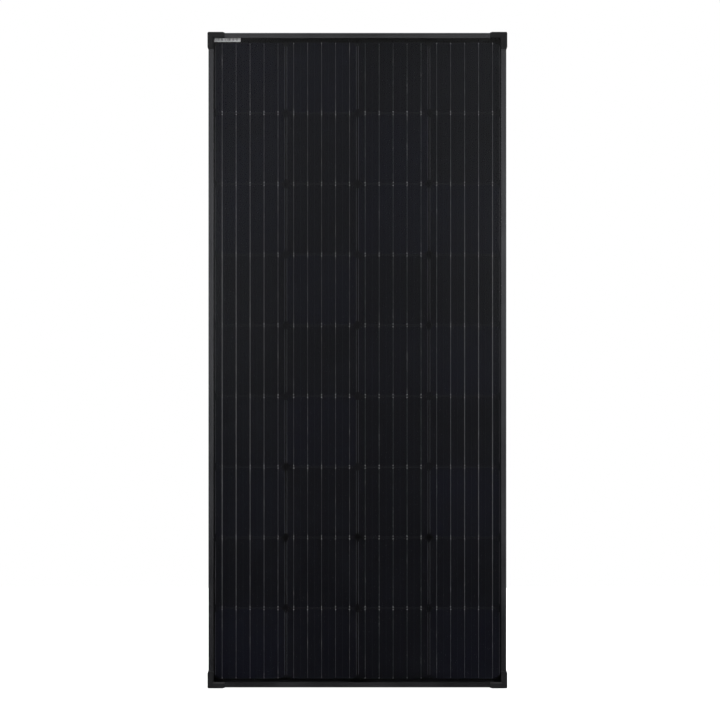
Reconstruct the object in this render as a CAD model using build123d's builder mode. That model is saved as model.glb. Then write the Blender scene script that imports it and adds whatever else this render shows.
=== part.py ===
"""Framed solar panel of 36 cells, stood upright with its glass facing -Y.

Origin: centre of the rack holes, on the rear plane of the frame. +Z is up, +X is to the
right when the glass is looked at. Millimetres. Every node is one physical piece, or one
group of identical small pieces.
"""
import os

from build123d import *

os.makedirs("parts", exist_ok=True)

# ---------------------------------------------------------------- driving dimensions
# Frame
panel_width = 668.0
panel_height = 1468.0
frame_depth = 35.0
rail_wall = 1.8
lip_width = 11.5
lip_thickness = 1.8
shelf_width = 11.5
shelf_thickness = 1.5
chamber_wall = 1.3
chamber_depth = 14.0
flange_width = 28.0
flange_thickness = 1.8
rail_edge_round = 0.6
key_arm = 48.0
key_side_clearance = 0.1

# Holes in the rear flange and drains in the outer wall
rack_hole_radius = 4.5
rack_hole_inset = 18.0
rack_spacing_outer = 800.0
rack_spacing_inner = 400.0
earth_hole_radius = 2.1
drain_length = 12.0
drain_width = 4.0
drain_inset = 70.0

# Corner caps
cap_wall = 2.0
cap_plate = 1.6
cap_clearance = 0.2
cap_arm = 38.5
cap_face = 14.0
cap_corner_round = 3.0
cap_taper_length = 5.0
cap_taper_depth = 1.4
cap_bevel_width = 3.2
cap_bevel_depth = 1.0

# Laminate, from the glass to the backsheet
edge_gap = 2.2
front_tape = 0.4
rear_tape = 0.5
tape_setback = 0.8
glass_thickness = 3.2
front_film_thickness = 0.45
cell_thickness = 0.2
ribbon_thickness = 0.25
rear_film_thickness = 0.6
backsheet_thickness = 0.3

# Cells and the ribbons that join them
columns = 4
rows = 9
side_border = 14.8
end_border = 20.625
array_drop = 1.2
column_gap = 3.8
row_gap = 2.0
cell_corner = 8.5
busbars = 5
ribbon_width = 1.2
ribbon_inset = 2.0
bus_width = 5.0
bus_clearance = 4.0
bus_overhang = 3.0

# Lead-outs behind the top row
lead_width = 5.0
lead_thickness = 0.25
strip_thickness = 0.1
strip_overlap = 12.0
slot_margin = 0.6

# Labels
label_thickness = 0.1
serial_label_width = 59.3
serial_label_height = 8.4
serial_label_inset = 12.6
serial_label_lift = 2.2
rating_label_width = 96.0
rating_label_height = 62.0
rating_label_gap = 42.0
rating_label_corner = 1.8

# Junction box
box_width = 110.0
box_height = 100.0
box_depth = 22.0
box_drop = 46.0
box_corner = 6.0
box_wall = 2.5
box_floor = 2.0
pad_thickness = 0.8
lid_thickness = 2.0
gasket_thickness = 1.0
gasket_width = 1.5
rib_clearance = 0.4
rib_thickness = 1.5
rib_depth = 3.0
finger_tab_width = 24.0
finger_tab_reach = 4.0

# Lid hinge
hinge_offset = 3.5
hinge_spread = 32.0
hinge_pin_radius = 1.0
pin_seat_clearance = 0.04
pin_running_clearance = 0.08
knuckle_radius = 2.5
lid_knuckle_length = 8.0
base_knuckle_length = 5.0
knuckle_gap = 0.3
knuckle_web_depth = 6.0

# Terminals and diodes
terminal_spread = 28.0
terminal_width = 14.0
terminal_thickness = 1.2
terminal_standoff = 4.0
terminal_length_outer = 56.0
terminal_length_middle = 36.0
post_inset = 2.0
lead_exit_drop = 26.0
lead_run_drop = 12.0
window_margin = 4.0
foil_landing = 12.0
foil_bend = 4.0
solder_thickness = 0.5
solder_inset = 2.0
solder_side_inset = 0.5
screw_radius = 2.0
screw_clearance = 0.06
screw_head_radius = 3.8
screw_head_height = 2.4
screw_length = 4.6
screw_slot_width = 0.9
screw_slot_depth = 1.1
diode_radius = 3.2
diode_length = 9.0
diode_wire_radius = 0.6
diode_wire_overlap = 6.0
diode_drop = 30.0

# Cable glands
gland_height = 10.75
gland_thread_radius = 7.0
gland_thread_length = 10.0
gland_thread_clearance = 0.1
gland_bore_radius = 5.4
gland_shoulder = 1.0
cable_hole_radius = 4.0
seal_bore_radius = 3.1
seal_clearance = 0.08
seal_recess = 1.5
ring_clearance = 0.25
ring_bore_radius = 3.5
nut_flat_radius = 9.0
nut_end_wall = 2.0
nut_base_gap = 1.0
nut_chamfer = 1.0

cut_margin = 1.0

# ---------------------------------------------------------------- levels across the depth
rearward = Vector(0, 1, 0)
frontward = Vector(0, -1, 0)

front_face = -frame_depth
lip_rear = front_face + lip_thickness
glass_front = lip_rear + front_tape
glass_rear = glass_front + glass_thickness
front_film_rear = glass_rear + front_film_thickness
cells_front = front_film_rear + ribbon_thickness
cells_rear = cells_front + cell_thickness
rear_film_front = cells_rear + ribbon_thickness
rear_film_rear = rear_film_front + rear_film_thickness
backsheet_rear = rear_film_rear + backsheet_thickness
shelf_front = backsheet_rear + rear_tape
lead_front = rear_film_front + strip_thickness
lead_rear = lead_front + lead_thickness

# ---------------------------------------------------------------- places across the face
glass_width = panel_width - 2 * (rail_wall + edge_gap)
glass_height = panel_height - 2 * (rail_wall + edge_gap)
cell_width = (panel_width - 2 * side_border - (columns - 1) * column_gap) / columns
cell_height = (panel_height - 2 * end_border - (rows - 1) * row_gap) / rows
column_pitch = cell_width + column_gap
row_pitch = cell_height + row_gap
busbar_pitch = cell_width / busbars
column_centres = [column_pitch * (index - (columns - 1) / 2) for index in range(columns)]
row_centres = [row_pitch * ((rows - 1) / 2 - index) - array_drop for index in range(rows)]
array_top = row_centres[0] + cell_height / 2
array_bottom = row_centres[-1] - cell_height / 2
busbar_offsets = [busbar_pitch * (index - (busbars - 1) / 2) for index in range(busbars)]
bus_reach = busbar_offsets[-1] + bus_overhang
top_bus_z = array_top + bus_clearance + bus_width / 2
bottom_bus_z = array_bottom - bus_clearance - bus_width / 2

box_top = panel_height / 2 - box_drop
box_centre = box_top - box_height / 2
box_bottom = box_top - box_height
box_front = backsheet_rear + pad_thickness
box_floor_rear = box_front + box_floor
lid_rear = box_front + box_depth
lid_front = lid_rear - lid_thickness
box_wall_rear = lid_front - gasket_thickness
lead_exit_z = box_top - lead_exit_drop
lead_run_z = box_top - lead_run_drop
terminal_front = box_floor_rear + terminal_standoff
terminal_rear = terminal_front + terminal_thickness
terminal_top = lead_exit_z - foil_bend
gland_y = box_front + gland_height
gland_mouth = box_bottom - gland_thread_length


def facing(y):
    """Plane at depth y: local x is +X, local y is +Z, and its normal points at the viewer."""
    return Plane.XZ.offset(-y)


def save(piece, node):
    """Label a finished piece with its node's name and write its STEP file."""
    piece.part.label = node
    export_step(piece.part, f"parts/{node}.step")


# ---------------------------------------------------------------- frame rails
# The section runs inwards from the outer face and rearwards from the front face: a glazing
# channel, a closed chamber for the corner keys, and an open channel above the rear flange.
shelf_at = shelf_front - front_face
chamber_at = shelf_at + shelf_thickness
chamber_end = chamber_at + chamber_depth
chamber_width = shelf_width - rail_wall - chamber_wall
chamber_floor_rear = chamber_end + shelf_thickness
rail_outline = [
    (0, 0),
    (lip_width, 0),
    (lip_width, lip_thickness),
    (rail_wall, lip_thickness),
    (rail_wall, shelf_at),
    (shelf_width, shelf_at),
    (shelf_width, chamber_floor_rear),
    (rail_wall, chamber_floor_rear),
    (rail_wall, frame_depth - flange_thickness),
    (flange_width, frame_depth - flange_thickness),
    (flange_width, frame_depth),
    (0, frame_depth),
]


def frame_rail(inward, half_span, length, flange_holes, drains):
    """One mitred rail; inward points from its outer face to the middle of the panel."""
    along = inward.cross(rearward)
    outer_middle = inward * -half_span
    front_edge = outer_middle + frontward * frame_depth
    with BuildPart() as rail:
        with BuildSketch(Plane(front_edge, x_dir=inward, z_dir=along)):
            with BuildLine():
                Polyline(*rail_outline, close=True)
            make_face()
            fillet(vertices().group_by(Axis.X)[0], rail_edge_round)
            with Locations((rail_wall + chamber_width / 2, chamber_at + chamber_depth / 2)):
                Rectangle(chamber_width, chamber_depth, mode=Mode.SUBTRACT)
        extrude(amount=length / 2, both=True)
        for end in (1, -1):
            mitre = Plane(front_edge + along * (end * length / 2), z_dir=inward + along * end)
            split(bisect_by=mitre, keep=Keep.BOTTOM)
        for distance, radius in flange_holes:
            with BuildSketch(Plane(outer_middle, x_dir=along, z_dir=rearward)):
                with Locations((distance, rack_hole_inset)):
                    Circle(radius)
            extrude(amount=-flange_thickness - cut_margin, mode=Mode.SUBTRACT)
        if drains:
            wall_middle = outer_middle + frontward * ((frame_depth - chamber_floor_rear) / 2)
            with BuildSketch(Plane(wall_middle, x_dir=along, z_dir=inward)):
                with Locations((drain_inset - length / 2, 0), (length / 2 - drain_inset, 0)):
                    SlotOverall(drain_length, drain_width)
            extrude(amount=rail_wall + cut_margin, mode=Mode.SUBTRACT)
    return rail


rack_holes = [(end * spacing / 2, rack_hole_radius)
              for end in (1, -1) for spacing in (rack_spacing_outer, rack_spacing_inner)]
side_holes = rack_holes + [(0, earth_hole_radius)]
for side, sign in (("left", 1), ("right", -1)):
    rail = frame_rail(Vector(sign, 0, 0), panel_width / 2, panel_height, side_holes, False)
    save(rail, f"frame_rail_{side}")
for side, sign in (("bottom", 1), ("top", -1)):
    rail = frame_rail(Vector(0, 0, sign), panel_height / 2, panel_width, [], True)
    save(rail, f"frame_rail_{side}")

# ---------------------------------------------------------------- corners
corners = {
    "top_left": (-1, 1),
    "top_right": (1, 1),
    "bottom_left": (-1, -1),
    "bottom_right": (1, -1),
}


def corner_plane(side_x, side_z, outset, y):
    """Plane on a frame corner moved out by outset: local x and y run inwards along the rails."""
    corner = Vector(side_x * (panel_width / 2 + outset), y, side_z * (panel_height / 2 + outset))
    return Plane(corner, x_dir=(-side_x, 0, 0), z_dir=(0, -side_x * side_z, 0))


# Corner keys: L-shaped blocks that fill the rails' chambers across each mitre.
key_inset = rail_wall + key_side_clearance
key_width = chamber_width - 2 * key_side_clearance
key_outline = [
    (key_inset, key_inset),
    (key_arm, key_inset),
    (key_arm, key_inset + key_width),
    (key_inset + key_width, key_inset + key_width),
    (key_inset + key_width, key_arm),
    (key_inset, key_arm),
]
for corner, (side_x, side_z) in corners.items():
    with BuildPart() as corner_key:
        with BuildSketch(corner_plane(side_x, side_z, 0, front_face + chamber_at)):
            with BuildLine():
                Polyline(*key_outline, close=True)
            make_face()
        extrude(amount=chamber_depth, dir=rearward)
    save(corner_key, f"corner_key_{corner}")

# Corner caps: an L-shaped block hollowed to take the frame's corner, with a bevel on the
# inner edge of its front plate and tapered ends on its outer walls.
cap_outset = cap_clearance + cap_wall
cap_front = front_face - cap_clearance - cap_plate
cap_depth = frame_depth + 2 * (cap_clearance + cap_plate)
cap_outline = [
    (0, 0),
    (cap_arm - cap_taper_length, 0),
    (cap_arm, cap_taper_depth),
    (cap_arm, cap_face),
    (cap_face, cap_face),
    (cap_face, cap_arm),
    (cap_taper_depth, cap_arm),
    (0, cap_arm - cap_taper_length),
]


def is_inner_edge(edge):
    """Whether an edge of a cap's front plate lies on the inner side of its two arms."""
    reach = cap_face - cap_bevel_width / 2
    from_side = panel_width / 2 + cap_outset - abs(edge.center().X)
    from_end = panel_height / 2 + cap_outset - abs(edge.center().Z)
    return from_side > reach and from_end > reach


for corner, (side_x, side_z) in corners.items():
    with BuildPart() as corner_cap:
        with BuildSketch(corner_plane(side_x, side_z, cap_outset, cap_front)):
            with BuildLine():
                Polyline(*cap_outline, close=True)
            make_face()
            fillet(vertices().sort_by_distance((0, 0))[0], cap_corner_round)
        extrude(amount=cap_depth, dir=rearward)
        with BuildSketch(corner_plane(side_x, side_z, cap_clearance, cap_front + cap_plate)):
            Rectangle(cap_arm + cut_margin, cap_arm + cut_margin, align=Align.MIN)
        extrude(amount=cap_depth - 2 * cap_plate, dir=rearward, mode=Mode.SUBTRACT)
        plate_face = faces().sort_by(Axis.Y)[0]
        chamfer(plate_face.edges().filter_by(is_inner_edge), length=cap_bevel_width,
                length2=cap_bevel_depth, reference=plate_face)
    save(corner_cap, f"corner_cap_{corner}")

# ---------------------------------------------------------------- glass and edge seal
with BuildPart() as glass:
    with BuildSketch(facing(glass_front)):
        Rectangle(glass_width, glass_height)
    extrude(amount=glass_thickness, dir=rearward)
save(glass, "front_glass")

# The seal is a U-shaped ring round the laminate's edge, set back a little under the lip.
seal_inset = lip_width - tape_setback
with BuildPart() as edge_seal:
    with BuildSketch(facing(lip_rear)):
        Rectangle(panel_width - 2 * rail_wall, panel_height - 2 * rail_wall)
        Rectangle(panel_width - 2 * seal_inset, panel_height - 2 * seal_inset, mode=Mode.SUBTRACT)
    extrude(amount=shelf_front - lip_rear, dir=rearward)
    with BuildSketch(facing(glass_front)):
        Rectangle(glass_width, glass_height)
    extrude(amount=backsheet_rear - glass_front, dir=rearward, mode=Mode.SUBTRACT)
save(edge_seal, "edge_seal")

with BuildPart() as front_film:
    with BuildSketch(facing(glass_rear)):
        Rectangle(glass_width, glass_height)
    extrude(amount=front_film_thickness, dir=rearward)
save(front_film, "front_encapsulant")

# ---------------------------------------------------------------- cells
# Pseudo-square wafers: rectangles with their four corners cut off.
with BuildSketch() as cell_outline:
    Rectangle(cell_width, cell_height)
    chamfer(cell_outline.vertices(), cell_corner)

for string, column_x in enumerate(column_centres, start=1):
    with BuildPart() as cell_string:
        with BuildSketch(facing(cells_front)):
            with Locations(*[(column_x, row_z) for row_z in row_centres]):
                add(cell_outline.sketch)
        extrude(amount=cell_thickness, dir=rearward)
    save(cell_string, f"cell_string_{string}")

# ---------------------------------------------------------------- ribbons
# A link runs on the front of one cell, dips through the gap and runs on behind the next.
# Strings run down and up in turn, so every other one is the mirror image of the first.
link_reach = row_gap / 2 + cell_height - ribbon_inset
jog = ribbon_thickness / 2
gap_centres = [(upper + lower) / 2 for upper, lower in zip(row_centres, row_centres[1:])]


def link_outline(gap_z, down):
    """Side view of a link, as (y, z) points about the gap it dips through."""
    profile = [
        (cells_front - ribbon_thickness, link_reach),
        (cells_front - ribbon_thickness, -jog),
        (cells_rear, -jog),
        (cells_rear, -link_reach),
        (cells_rear + ribbon_thickness, -link_reach),
        (cells_rear + ribbon_thickness, jog),
        (cells_front, jog),
        (cells_front, link_reach),
    ]
    return [(y, gap_z + down * z) for y, z in profile]


def end_outline(y, bus_z, bus_side, cell_z):
    """Side view of the ribbon from a bus, outer edge included, to the far side of a cell."""
    bus_edge = bus_z + bus_side * bus_width / 2
    far_edge = cell_z - bus_side * (cell_height / 2 - ribbon_inset)
    return [(y, bus_edge), (y + ribbon_thickness, bus_edge),
            (y + ribbon_thickness, far_edge), (y, far_edge)]


for string, column_x in enumerate(column_centres, start=1):
    down = 1 if string % 2 else -1
    top_y = cells_rear if down == 1 else cells_front - ribbon_thickness
    bottom_y = cells_front - ribbon_thickness if down == 1 else cells_rear
    outlines = [link_outline(gap_z, down) for gap_z in gap_centres]
    outlines.append(end_outline(top_y, top_bus_z, 1, row_centres[0]))
    outlines.append(end_outline(bottom_y, bottom_bus_z, -1, row_centres[-1]))
    with BuildPart() as string_ribbons:
        for offset in busbar_offsets:
            with BuildSketch(Plane.YZ.offset(column_x + offset)):
                for outline in outlines:
                    with BuildLine():
                        Polyline(*outline, close=True)
                    make_face()
            extrude(amount=ribbon_width / 2, both=True)
    save(string_ribbons, f"string_ribbons_{string}")

# ---------------------------------------------------------------- bus ribbons
# Each spans from its first column's first busbar to its last column's last one.
buses = {
    "bus_positive": (0, 0, top_bus_z),
    "bus_middle": (1, 2, top_bus_z),
    "bus_negative": (3, 3, top_bus_z),
    "bus_lower_left": (0, 1, bottom_bus_z),
    "bus_lower_right": (2, 3, bottom_bus_z),
}
for node, (first, last, bus_z) in buses.items():
    bus_start = column_centres[first] - bus_reach
    bus_end = column_centres[last] + bus_reach
    with BuildPart() as bus:
        with BuildSketch(facing(cells_front)):
            with Locations(((bus_start + bus_end) / 2, bus_z)):
                Rectangle(bus_end - bus_start, bus_width)
        extrude(amount=cell_thickness, dir=rearward)
    save(bus, node)

# ---------------------------------------------------------------- lead-outs
# Flat foils behind the cells, from the top buses to the terminals in the junction box.
lead_inset = busbar_pitch * (busbars / 2 - 1)
leads = {
    "lead_positive": (column_centres[0] + lead_inset, -terminal_spread),
    "lead_middle": (0, 0),
    "lead_negative": (column_centres[-1] - lead_inset, terminal_spread),
}
foil_end_z = terminal_top - foil_landing
lead_parts = []
for node, (bus_x, exit_x) in leads.items():
    run_length = abs(bus_x - exit_x) + lead_width
    bus_edge = top_bus_z + bus_width / 2
    drop_end = lead_run_z - lead_width / 2
    with BuildPart() as lead:
        with BuildSketch(facing(lead_front)):
            with Locations((bus_x, (bus_edge + drop_end) / 2)):
                Rectangle(lead_width, bus_edge - drop_end)
            with Locations(((bus_x + exit_x) / 2, lead_run_z)):
                Rectangle(run_length, lead_width)
            with Locations((exit_x, (lead_run_z + lead_exit_z) / 2)):
                Rectangle(lead_width, lead_run_z - lead_exit_z)
        extrude(amount=lead_thickness, dir=rearward)
        with BuildSketch(facing(cells_rear)):
            with Locations((bus_x, top_bus_z)):
                Rectangle(lead_width, bus_width)
        extrude(amount=lead_rear - cells_rear, dir=rearward)
        with BuildSketch(facing(lead_front)):
            with Locations((exit_x, lead_exit_z + lead_thickness / 2)):
                Rectangle(lead_width, lead_thickness)
        extrude(amount=terminal_rear + lead_thickness - lead_front, dir=rearward)
        with BuildSketch(facing(terminal_rear)):
            with Locations((exit_x, (lead_exit_z + foil_end_z) / 2)):
                Rectangle(lead_width, lead_exit_z - foil_end_z)
        extrude(amount=lead_thickness, dir=rearward)
    save(lead, node)
    lead_parts.append(lead.part)

# The insulation strip keeps the foils off the ribbons of the top row.
strip_top = array_top
strip_bottom = lead_exit_z - strip_overlap
strip_width = 2 * (abs(column_centres[0] + lead_inset) + strip_overlap)
with BuildPart() as insulation_strip:
    with BuildSketch(facing(rear_film_front)):
        with Locations((0, (strip_top + strip_bottom) / 2)):
            Rectangle(strip_width, strip_top - strip_bottom)
    extrude(amount=strip_thickness, dir=rearward)
save(insulation_strip, "insulation_strip")

# The rear encapsulant flows round the strip and the foils.
with BuildPart() as rear_film:
    with BuildSketch(facing(rear_film_front)):
        Rectangle(glass_width, glass_height)
    extrude(amount=rear_film_thickness, dir=rearward)
    add(insulation_strip.part, mode=Mode.SUBTRACT)
    for lead_part in lead_parts:
        add(lead_part, mode=Mode.SUBTRACT)
save(rear_film, "rear_encapsulant")

with BuildPart() as backsheet:
    with BuildSketch(facing(rear_film_rear)):
        Rectangle(glass_width, glass_height)
        with Locations(*[(exit_x, lead_exit_z + lead_thickness / 2) for _, exit_x in leads.values()]):
            Rectangle(lead_width + 2 * slot_margin, lead_thickness + 2 * slot_margin, mode=Mode.SUBTRACT)
    extrude(amount=backsheet_thickness, dir=rearward)
save(backsheet, "backsheet")

# ---------------------------------------------------------------- labels
# The serial label lies above the first cell, between the front encapsulant and the bus.
serial_left = -panel_width / 2 + serial_label_inset
serial_bottom = array_top + serial_label_lift
with BuildPart() as serial_label:
    with BuildSketch(facing(front_film_rear)):
        with Locations((serial_left, serial_bottom)):
            Rectangle(serial_label_width, serial_label_height, align=Align.MIN)
    extrude(amount=label_thickness, dir=rearward)
save(serial_label, "serial_label")

rating_centre_z = box_bottom - rating_label_gap - rating_label_height / 2
with BuildPart() as rating_label:
    with BuildSketch(facing(backsheet_rear)):
        with Locations((0, rating_centre_z)):
            RectangleRounded(rating_label_width, rating_label_height, rating_label_corner)
    extrude(amount=label_thickness, dir=rearward)
save(rating_label, "rating_label")

# ---------------------------------------------------------------- junction box
window_width = 2 * (terminal_spread + lead_width / 2 + window_margin)
window_height = 2 * window_margin
terminals = {
    "terminal_positive": (-terminal_spread, terminal_length_outer),
    "terminal_middle": (0, terminal_length_middle),
    "terminal_negative": (terminal_spread, terminal_length_outer),
}
gland_xs = {"left": -terminal_spread, "right": terminal_spread}
gland_places = [(gland_x, gland_y) for gland_x in gland_xs.values()]
screw_z = terminal_top - terminal_length_outer + terminal_width / 2
hinge_y = (lid_front + lid_rear) / 2
hinge_z = box_top + hinge_offset
knuckle_start = lid_knuckle_length / 2 + knuckle_gap
pin_length = 2 * (knuckle_start + base_knuckle_length)
base_knuckles = [(side * hinge_spread + end * (knuckle_start + base_knuckle_length / 2))
                 for side in (1, -1) for end in (1, -1)]

with BuildPart() as adhesive_pad:
    with BuildSketch(facing(backsheet_rear)):
        with Locations((0, box_centre)):
            RectangleRounded(box_width, box_height, box_corner)
        with Locations((0, lead_exit_z)):
            Rectangle(window_width, window_height, mode=Mode.SUBTRACT)
    extrude(amount=pad_thickness, dir=rearward)
save(adhesive_pad, "adhesive_pad")

with BuildPart() as junction_box_base:
    # Tray
    with BuildSketch(facing(box_front)):
        with Locations((0, box_centre)):
            RectangleRounded(box_width, box_height, box_corner)
    extrude(amount=box_wall_rear - box_front, dir=rearward)
    with BuildSketch(facing(box_floor_rear)):
        with Locations((0, box_centre)):
            RectangleRounded(box_width - 2 * box_wall, box_height - 2 * box_wall, box_corner - box_wall)
    extrude(amount=box_wall_rear - box_floor_rear, dir=rearward, mode=Mode.SUBTRACT)
    with BuildSketch(facing(box_front)):
        with Locations((0, lead_exit_z)):
            Rectangle(window_width, window_height)
    extrude(amount=box_floor, dir=rearward, mode=Mode.SUBTRACT)
    # Posts under the terminals, two of them bored for the screws
    with BuildSketch(facing(box_floor_rear)):
        for terminal_x, terminal_length in terminals.values():
            with Locations((terminal_x, terminal_top - terminal_length / 2)):
                Rectangle(terminal_width - 2 * post_inset, terminal_length - 2 * post_inset)
        with Locations((-terminal_spread, screw_z), (terminal_spread, screw_z)):
            Circle(screw_radius + screw_clearance, mode=Mode.SUBTRACT)
    extrude(amount=terminal_standoff, dir=rearward)
    # Threaded gland sockets, open through the lower wall
    with BuildSketch(Plane.XY.offset(box_bottom)):
        with Locations(*gland_places):
            Circle(gland_thread_radius)
    extrude(amount=-gland_thread_length)
    with BuildSketch(Plane.XY.offset(gland_mouth)):
        with Locations(*gland_places):
            Circle(gland_bore_radius)
    extrude(amount=gland_thread_length - gland_shoulder, mode=Mode.SUBTRACT)
    with BuildSketch(Plane.XY.offset(gland_mouth)):
        with Locations(*gland_places):
            Circle(cable_hole_radius)
    extrude(amount=gland_thread_length + box_wall, mode=Mode.SUBTRACT)
    # Hinge knuckles on webs above the upper wall
    for knuckle_x in base_knuckles:
        with BuildSketch(Plane.YZ.offset(knuckle_x)):
            with Locations((hinge_y, hinge_z)):
                Circle(knuckle_radius)
            with Locations((box_wall_rear, box_top)):
                Rectangle(knuckle_web_depth, hinge_offset + hinge_pin_radius, align=(Align.MAX, Align.MIN))
            with Locations((box_wall_rear, hinge_z)):
                Rectangle(gasket_thickness - rib_clearance, 2 * hinge_pin_radius,
                          align=(Align.MIN, Align.CENTER))
            with Locations((hinge_y, hinge_z)):
                Circle(hinge_pin_radius + pin_seat_clearance, mode=Mode.SUBTRACT)
        extrude(amount=base_knuckle_length / 2, both=True)
save(junction_box_base, "junction_box_base")

with BuildPart() as lid_gasket:
    with BuildSketch(facing(box_wall_rear)):
        with Locations((0, box_centre)):
            inset = (box_wall - gasket_width) / 2
            RectangleRounded(box_width - 2 * inset, box_height - 2 * inset, box_corner - inset)
            inset = inset + gasket_width
            RectangleRounded(box_width - 2 * inset, box_height - 2 * inset, box_corner - inset,
                             mode=Mode.SUBTRACT)
    extrude(amount=gasket_thickness, dir=rearward)
save(lid_gasket, "lid_gasket")

with BuildPart() as junction_box_lid:
    with BuildSketch(facing(lid_front)):
        with Locations((0, box_centre)):
            RectangleRounded(box_width, box_height, box_corner)
        with Locations((0, box_bottom)):
            Rectangle(finger_tab_width, 2 * finger_tab_reach)
    extrude(amount=lid_thickness, dir=rearward)
    with BuildSketch(facing(lid_front)):
        with Locations((0, box_centre)):
            inset = box_wall + rib_clearance
            RectangleRounded(box_width - 2 * inset, box_height - 2 * inset, box_corner - inset)
            inset = inset + rib_thickness
            Rectangle(box_width - 2 * inset, box_height - 2 * inset, mode=Mode.SUBTRACT)
    extrude(amount=rib_depth, dir=frontward)
    for side in (1, -1):
        with BuildSketch(Plane.YZ.offset(side * hinge_spread)):
            with Locations((hinge_y, hinge_z)):
                Circle(knuckle_radius)
            with Locations((hinge_y, box_top)):
                Rectangle(lid_thickness, hinge_offset, align=(Align.CENTER, Align.MIN))
            with Locations((hinge_y, hinge_z)):
                Circle(hinge_pin_radius + pin_running_clearance, mode=Mode.SUBTRACT)
        extrude(amount=lid_knuckle_length / 2, both=True)
save(junction_box_lid, "junction_box_lid")

with BuildPart() as lid_hinge_pins:
    for side in (1, -1):
        with BuildSketch(Plane.YZ.offset(side * hinge_spread)):
            with Locations((hinge_y, hinge_z)):
                Circle(hinge_pin_radius)
        extrude(amount=pin_length / 2, both=True)
save(lid_hinge_pins, "lid_hinge_pins")

# ---------------------------------------------------------------- terminals and diodes
for node, (terminal_x, terminal_length) in terminals.items():
    with BuildPart() as terminal:
        with BuildSketch(facing(terminal_front)):
            with Locations((terminal_x, terminal_top - terminal_length / 2)):
                Rectangle(terminal_width, terminal_length)
            if terminal_x:
                with Locations((terminal_x, screw_z)):
                    Circle(screw_radius + screw_clearance, mode=Mode.SUBTRACT)
        extrude(amount=terminal_thickness, dir=rearward)
    save(terminal, node)

with BuildPart() as terminal_screws:
    for side in (1, -1):
        with BuildSketch(facing(terminal_rear)):
            with Locations((side * terminal_spread, screw_z)):
                Circle(screw_radius)
        extrude(amount=screw_length, dir=frontward)
        with BuildSketch(facing(terminal_rear)):
            with Locations((side * terminal_spread, screw_z)):
                Circle(screw_head_radius)
        extrude(amount=screw_head_height, dir=rearward)
        with BuildSketch(facing(terminal_rear + screw_head_height)):
            with Locations((side * terminal_spread, screw_z)):
                Rectangle(2 * screw_head_radius, screw_slot_width)
        extrude(amount=screw_slot_depth, dir=frontward, mode=Mode.SUBTRACT)
save(terminal_screws, "terminal_screws")

with BuildPart() as solder_pads:
    with BuildSketch(facing(terminal_rear + lead_thickness)):
        with Locations(*[(exit_x, terminal_top - foil_landing / 2) for _, exit_x in leads.values()]):
            RectangleRounded(lead_width - 2 * solder_side_inset, foil_landing - 2 * solder_inset,
                             solder_thickness)
    extrude(amount=solder_thickness, dir=rearward)
save(solder_pads, "solder_pads")

diode_y = terminal_rear + diode_wire_radius
diode_z = terminal_top - diode_drop
diode_wire_length = terminal_spread - terminal_width + 2 * diode_wire_overlap
with BuildPart() as diode_wires:
    for side in (1, -1):
        with BuildSketch(Plane.YZ.offset(side * terminal_spread / 2)):
            with Locations((diode_y, diode_z)):
                Circle(diode_wire_radius)
        extrude(amount=diode_wire_length / 2, both=True)
save(diode_wires, "diode_wires")

for side, sign in (("left", -1), ("right", 1)):
    with BuildPart() as bypass_diode:
        with BuildSketch(Plane.YZ.offset(sign * terminal_spread / 2)):
            with Locations((diode_y, diode_z)):
                Circle(diode_radius)
                Circle(diode_wire_radius, mode=Mode.SUBTRACT)
        extrude(amount=diode_length / 2, both=True)
    save(bypass_diode, f"bypass_diode_{side}")

# ---------------------------------------------------------------- cable glands
# Each nut screws up on its socket and presses a ring on the rubber seal inside.
nut_top = box_bottom - nut_base_gap
nut_inner_end = gland_mouth - gland_shoulder
nut_bottom = nut_inner_end - nut_end_wall
seal_top = box_bottom - gland_shoulder
seal_bottom = gland_mouth + seal_recess
for side, gland_x in gland_xs.items():
    with BuildPart() as gland_seal:
        with BuildSketch(Plane.XY.offset(seal_bottom)):
            with Locations((gland_x, gland_y)):
                Circle(gland_bore_radius - seal_clearance)
                Circle(seal_bore_radius, mode=Mode.SUBTRACT)
        extrude(amount=seal_top - seal_bottom)
    save(gland_seal, f"gland_seal_{side}")

    with BuildPart() as gland_ring:
        with BuildSketch(Plane.XY.offset(nut_inner_end)):
            with Locations((gland_x, gland_y)):
                Circle(gland_bore_radius - ring_clearance)
                Circle(ring_bore_radius, mode=Mode.SUBTRACT)
        extrude(amount=seal_bottom - nut_inner_end)
    save(gland_ring, f"gland_ring_{side}")

    with BuildPart() as gland_nut:
        with BuildSketch(Plane.XY.offset(nut_bottom)):
            with Locations((gland_x, gland_y)):
                RegularPolygon(nut_flat_radius, 6, major_radius=False)
        extrude(amount=nut_top - nut_bottom)
        chamfer(faces().sort_by(Axis.Z)[0].edges(), nut_chamfer)
        with BuildSketch(Plane.XY.offset(nut_inner_end)):
            with Locations((gland_x, gland_y)):
                Circle(gland_thread_radius + gland_thread_clearance)
        extrude(amount=nut_top - nut_inner_end, mode=Mode.SUBTRACT)
        with BuildSketch(Plane.XY.offset(nut_bottom)):
            with Locations((gland_x, gland_y)):
                Circle(ring_bore_radius)
        extrude(amount=nut_end_wall, mode=Mode.SUBTRACT)
    save(gland_nut, f"gland_nut_{side}")
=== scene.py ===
"""Looks of a framed solar panel: its finishes, its soft-edged mouldings and its studio.

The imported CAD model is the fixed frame. Each class below builds and dresses one
sub-assembly around it. Lengths are metres, in the frame's own axes: +Z up, glass facing -Y.
"""

import logging
import math
from dataclasses import dataclass, field
from enum import Enum
from typing import Iterable, NamedTuple, Sequence

import bmesh
import bpy
from mathutils import Matrix, Vector


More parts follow.
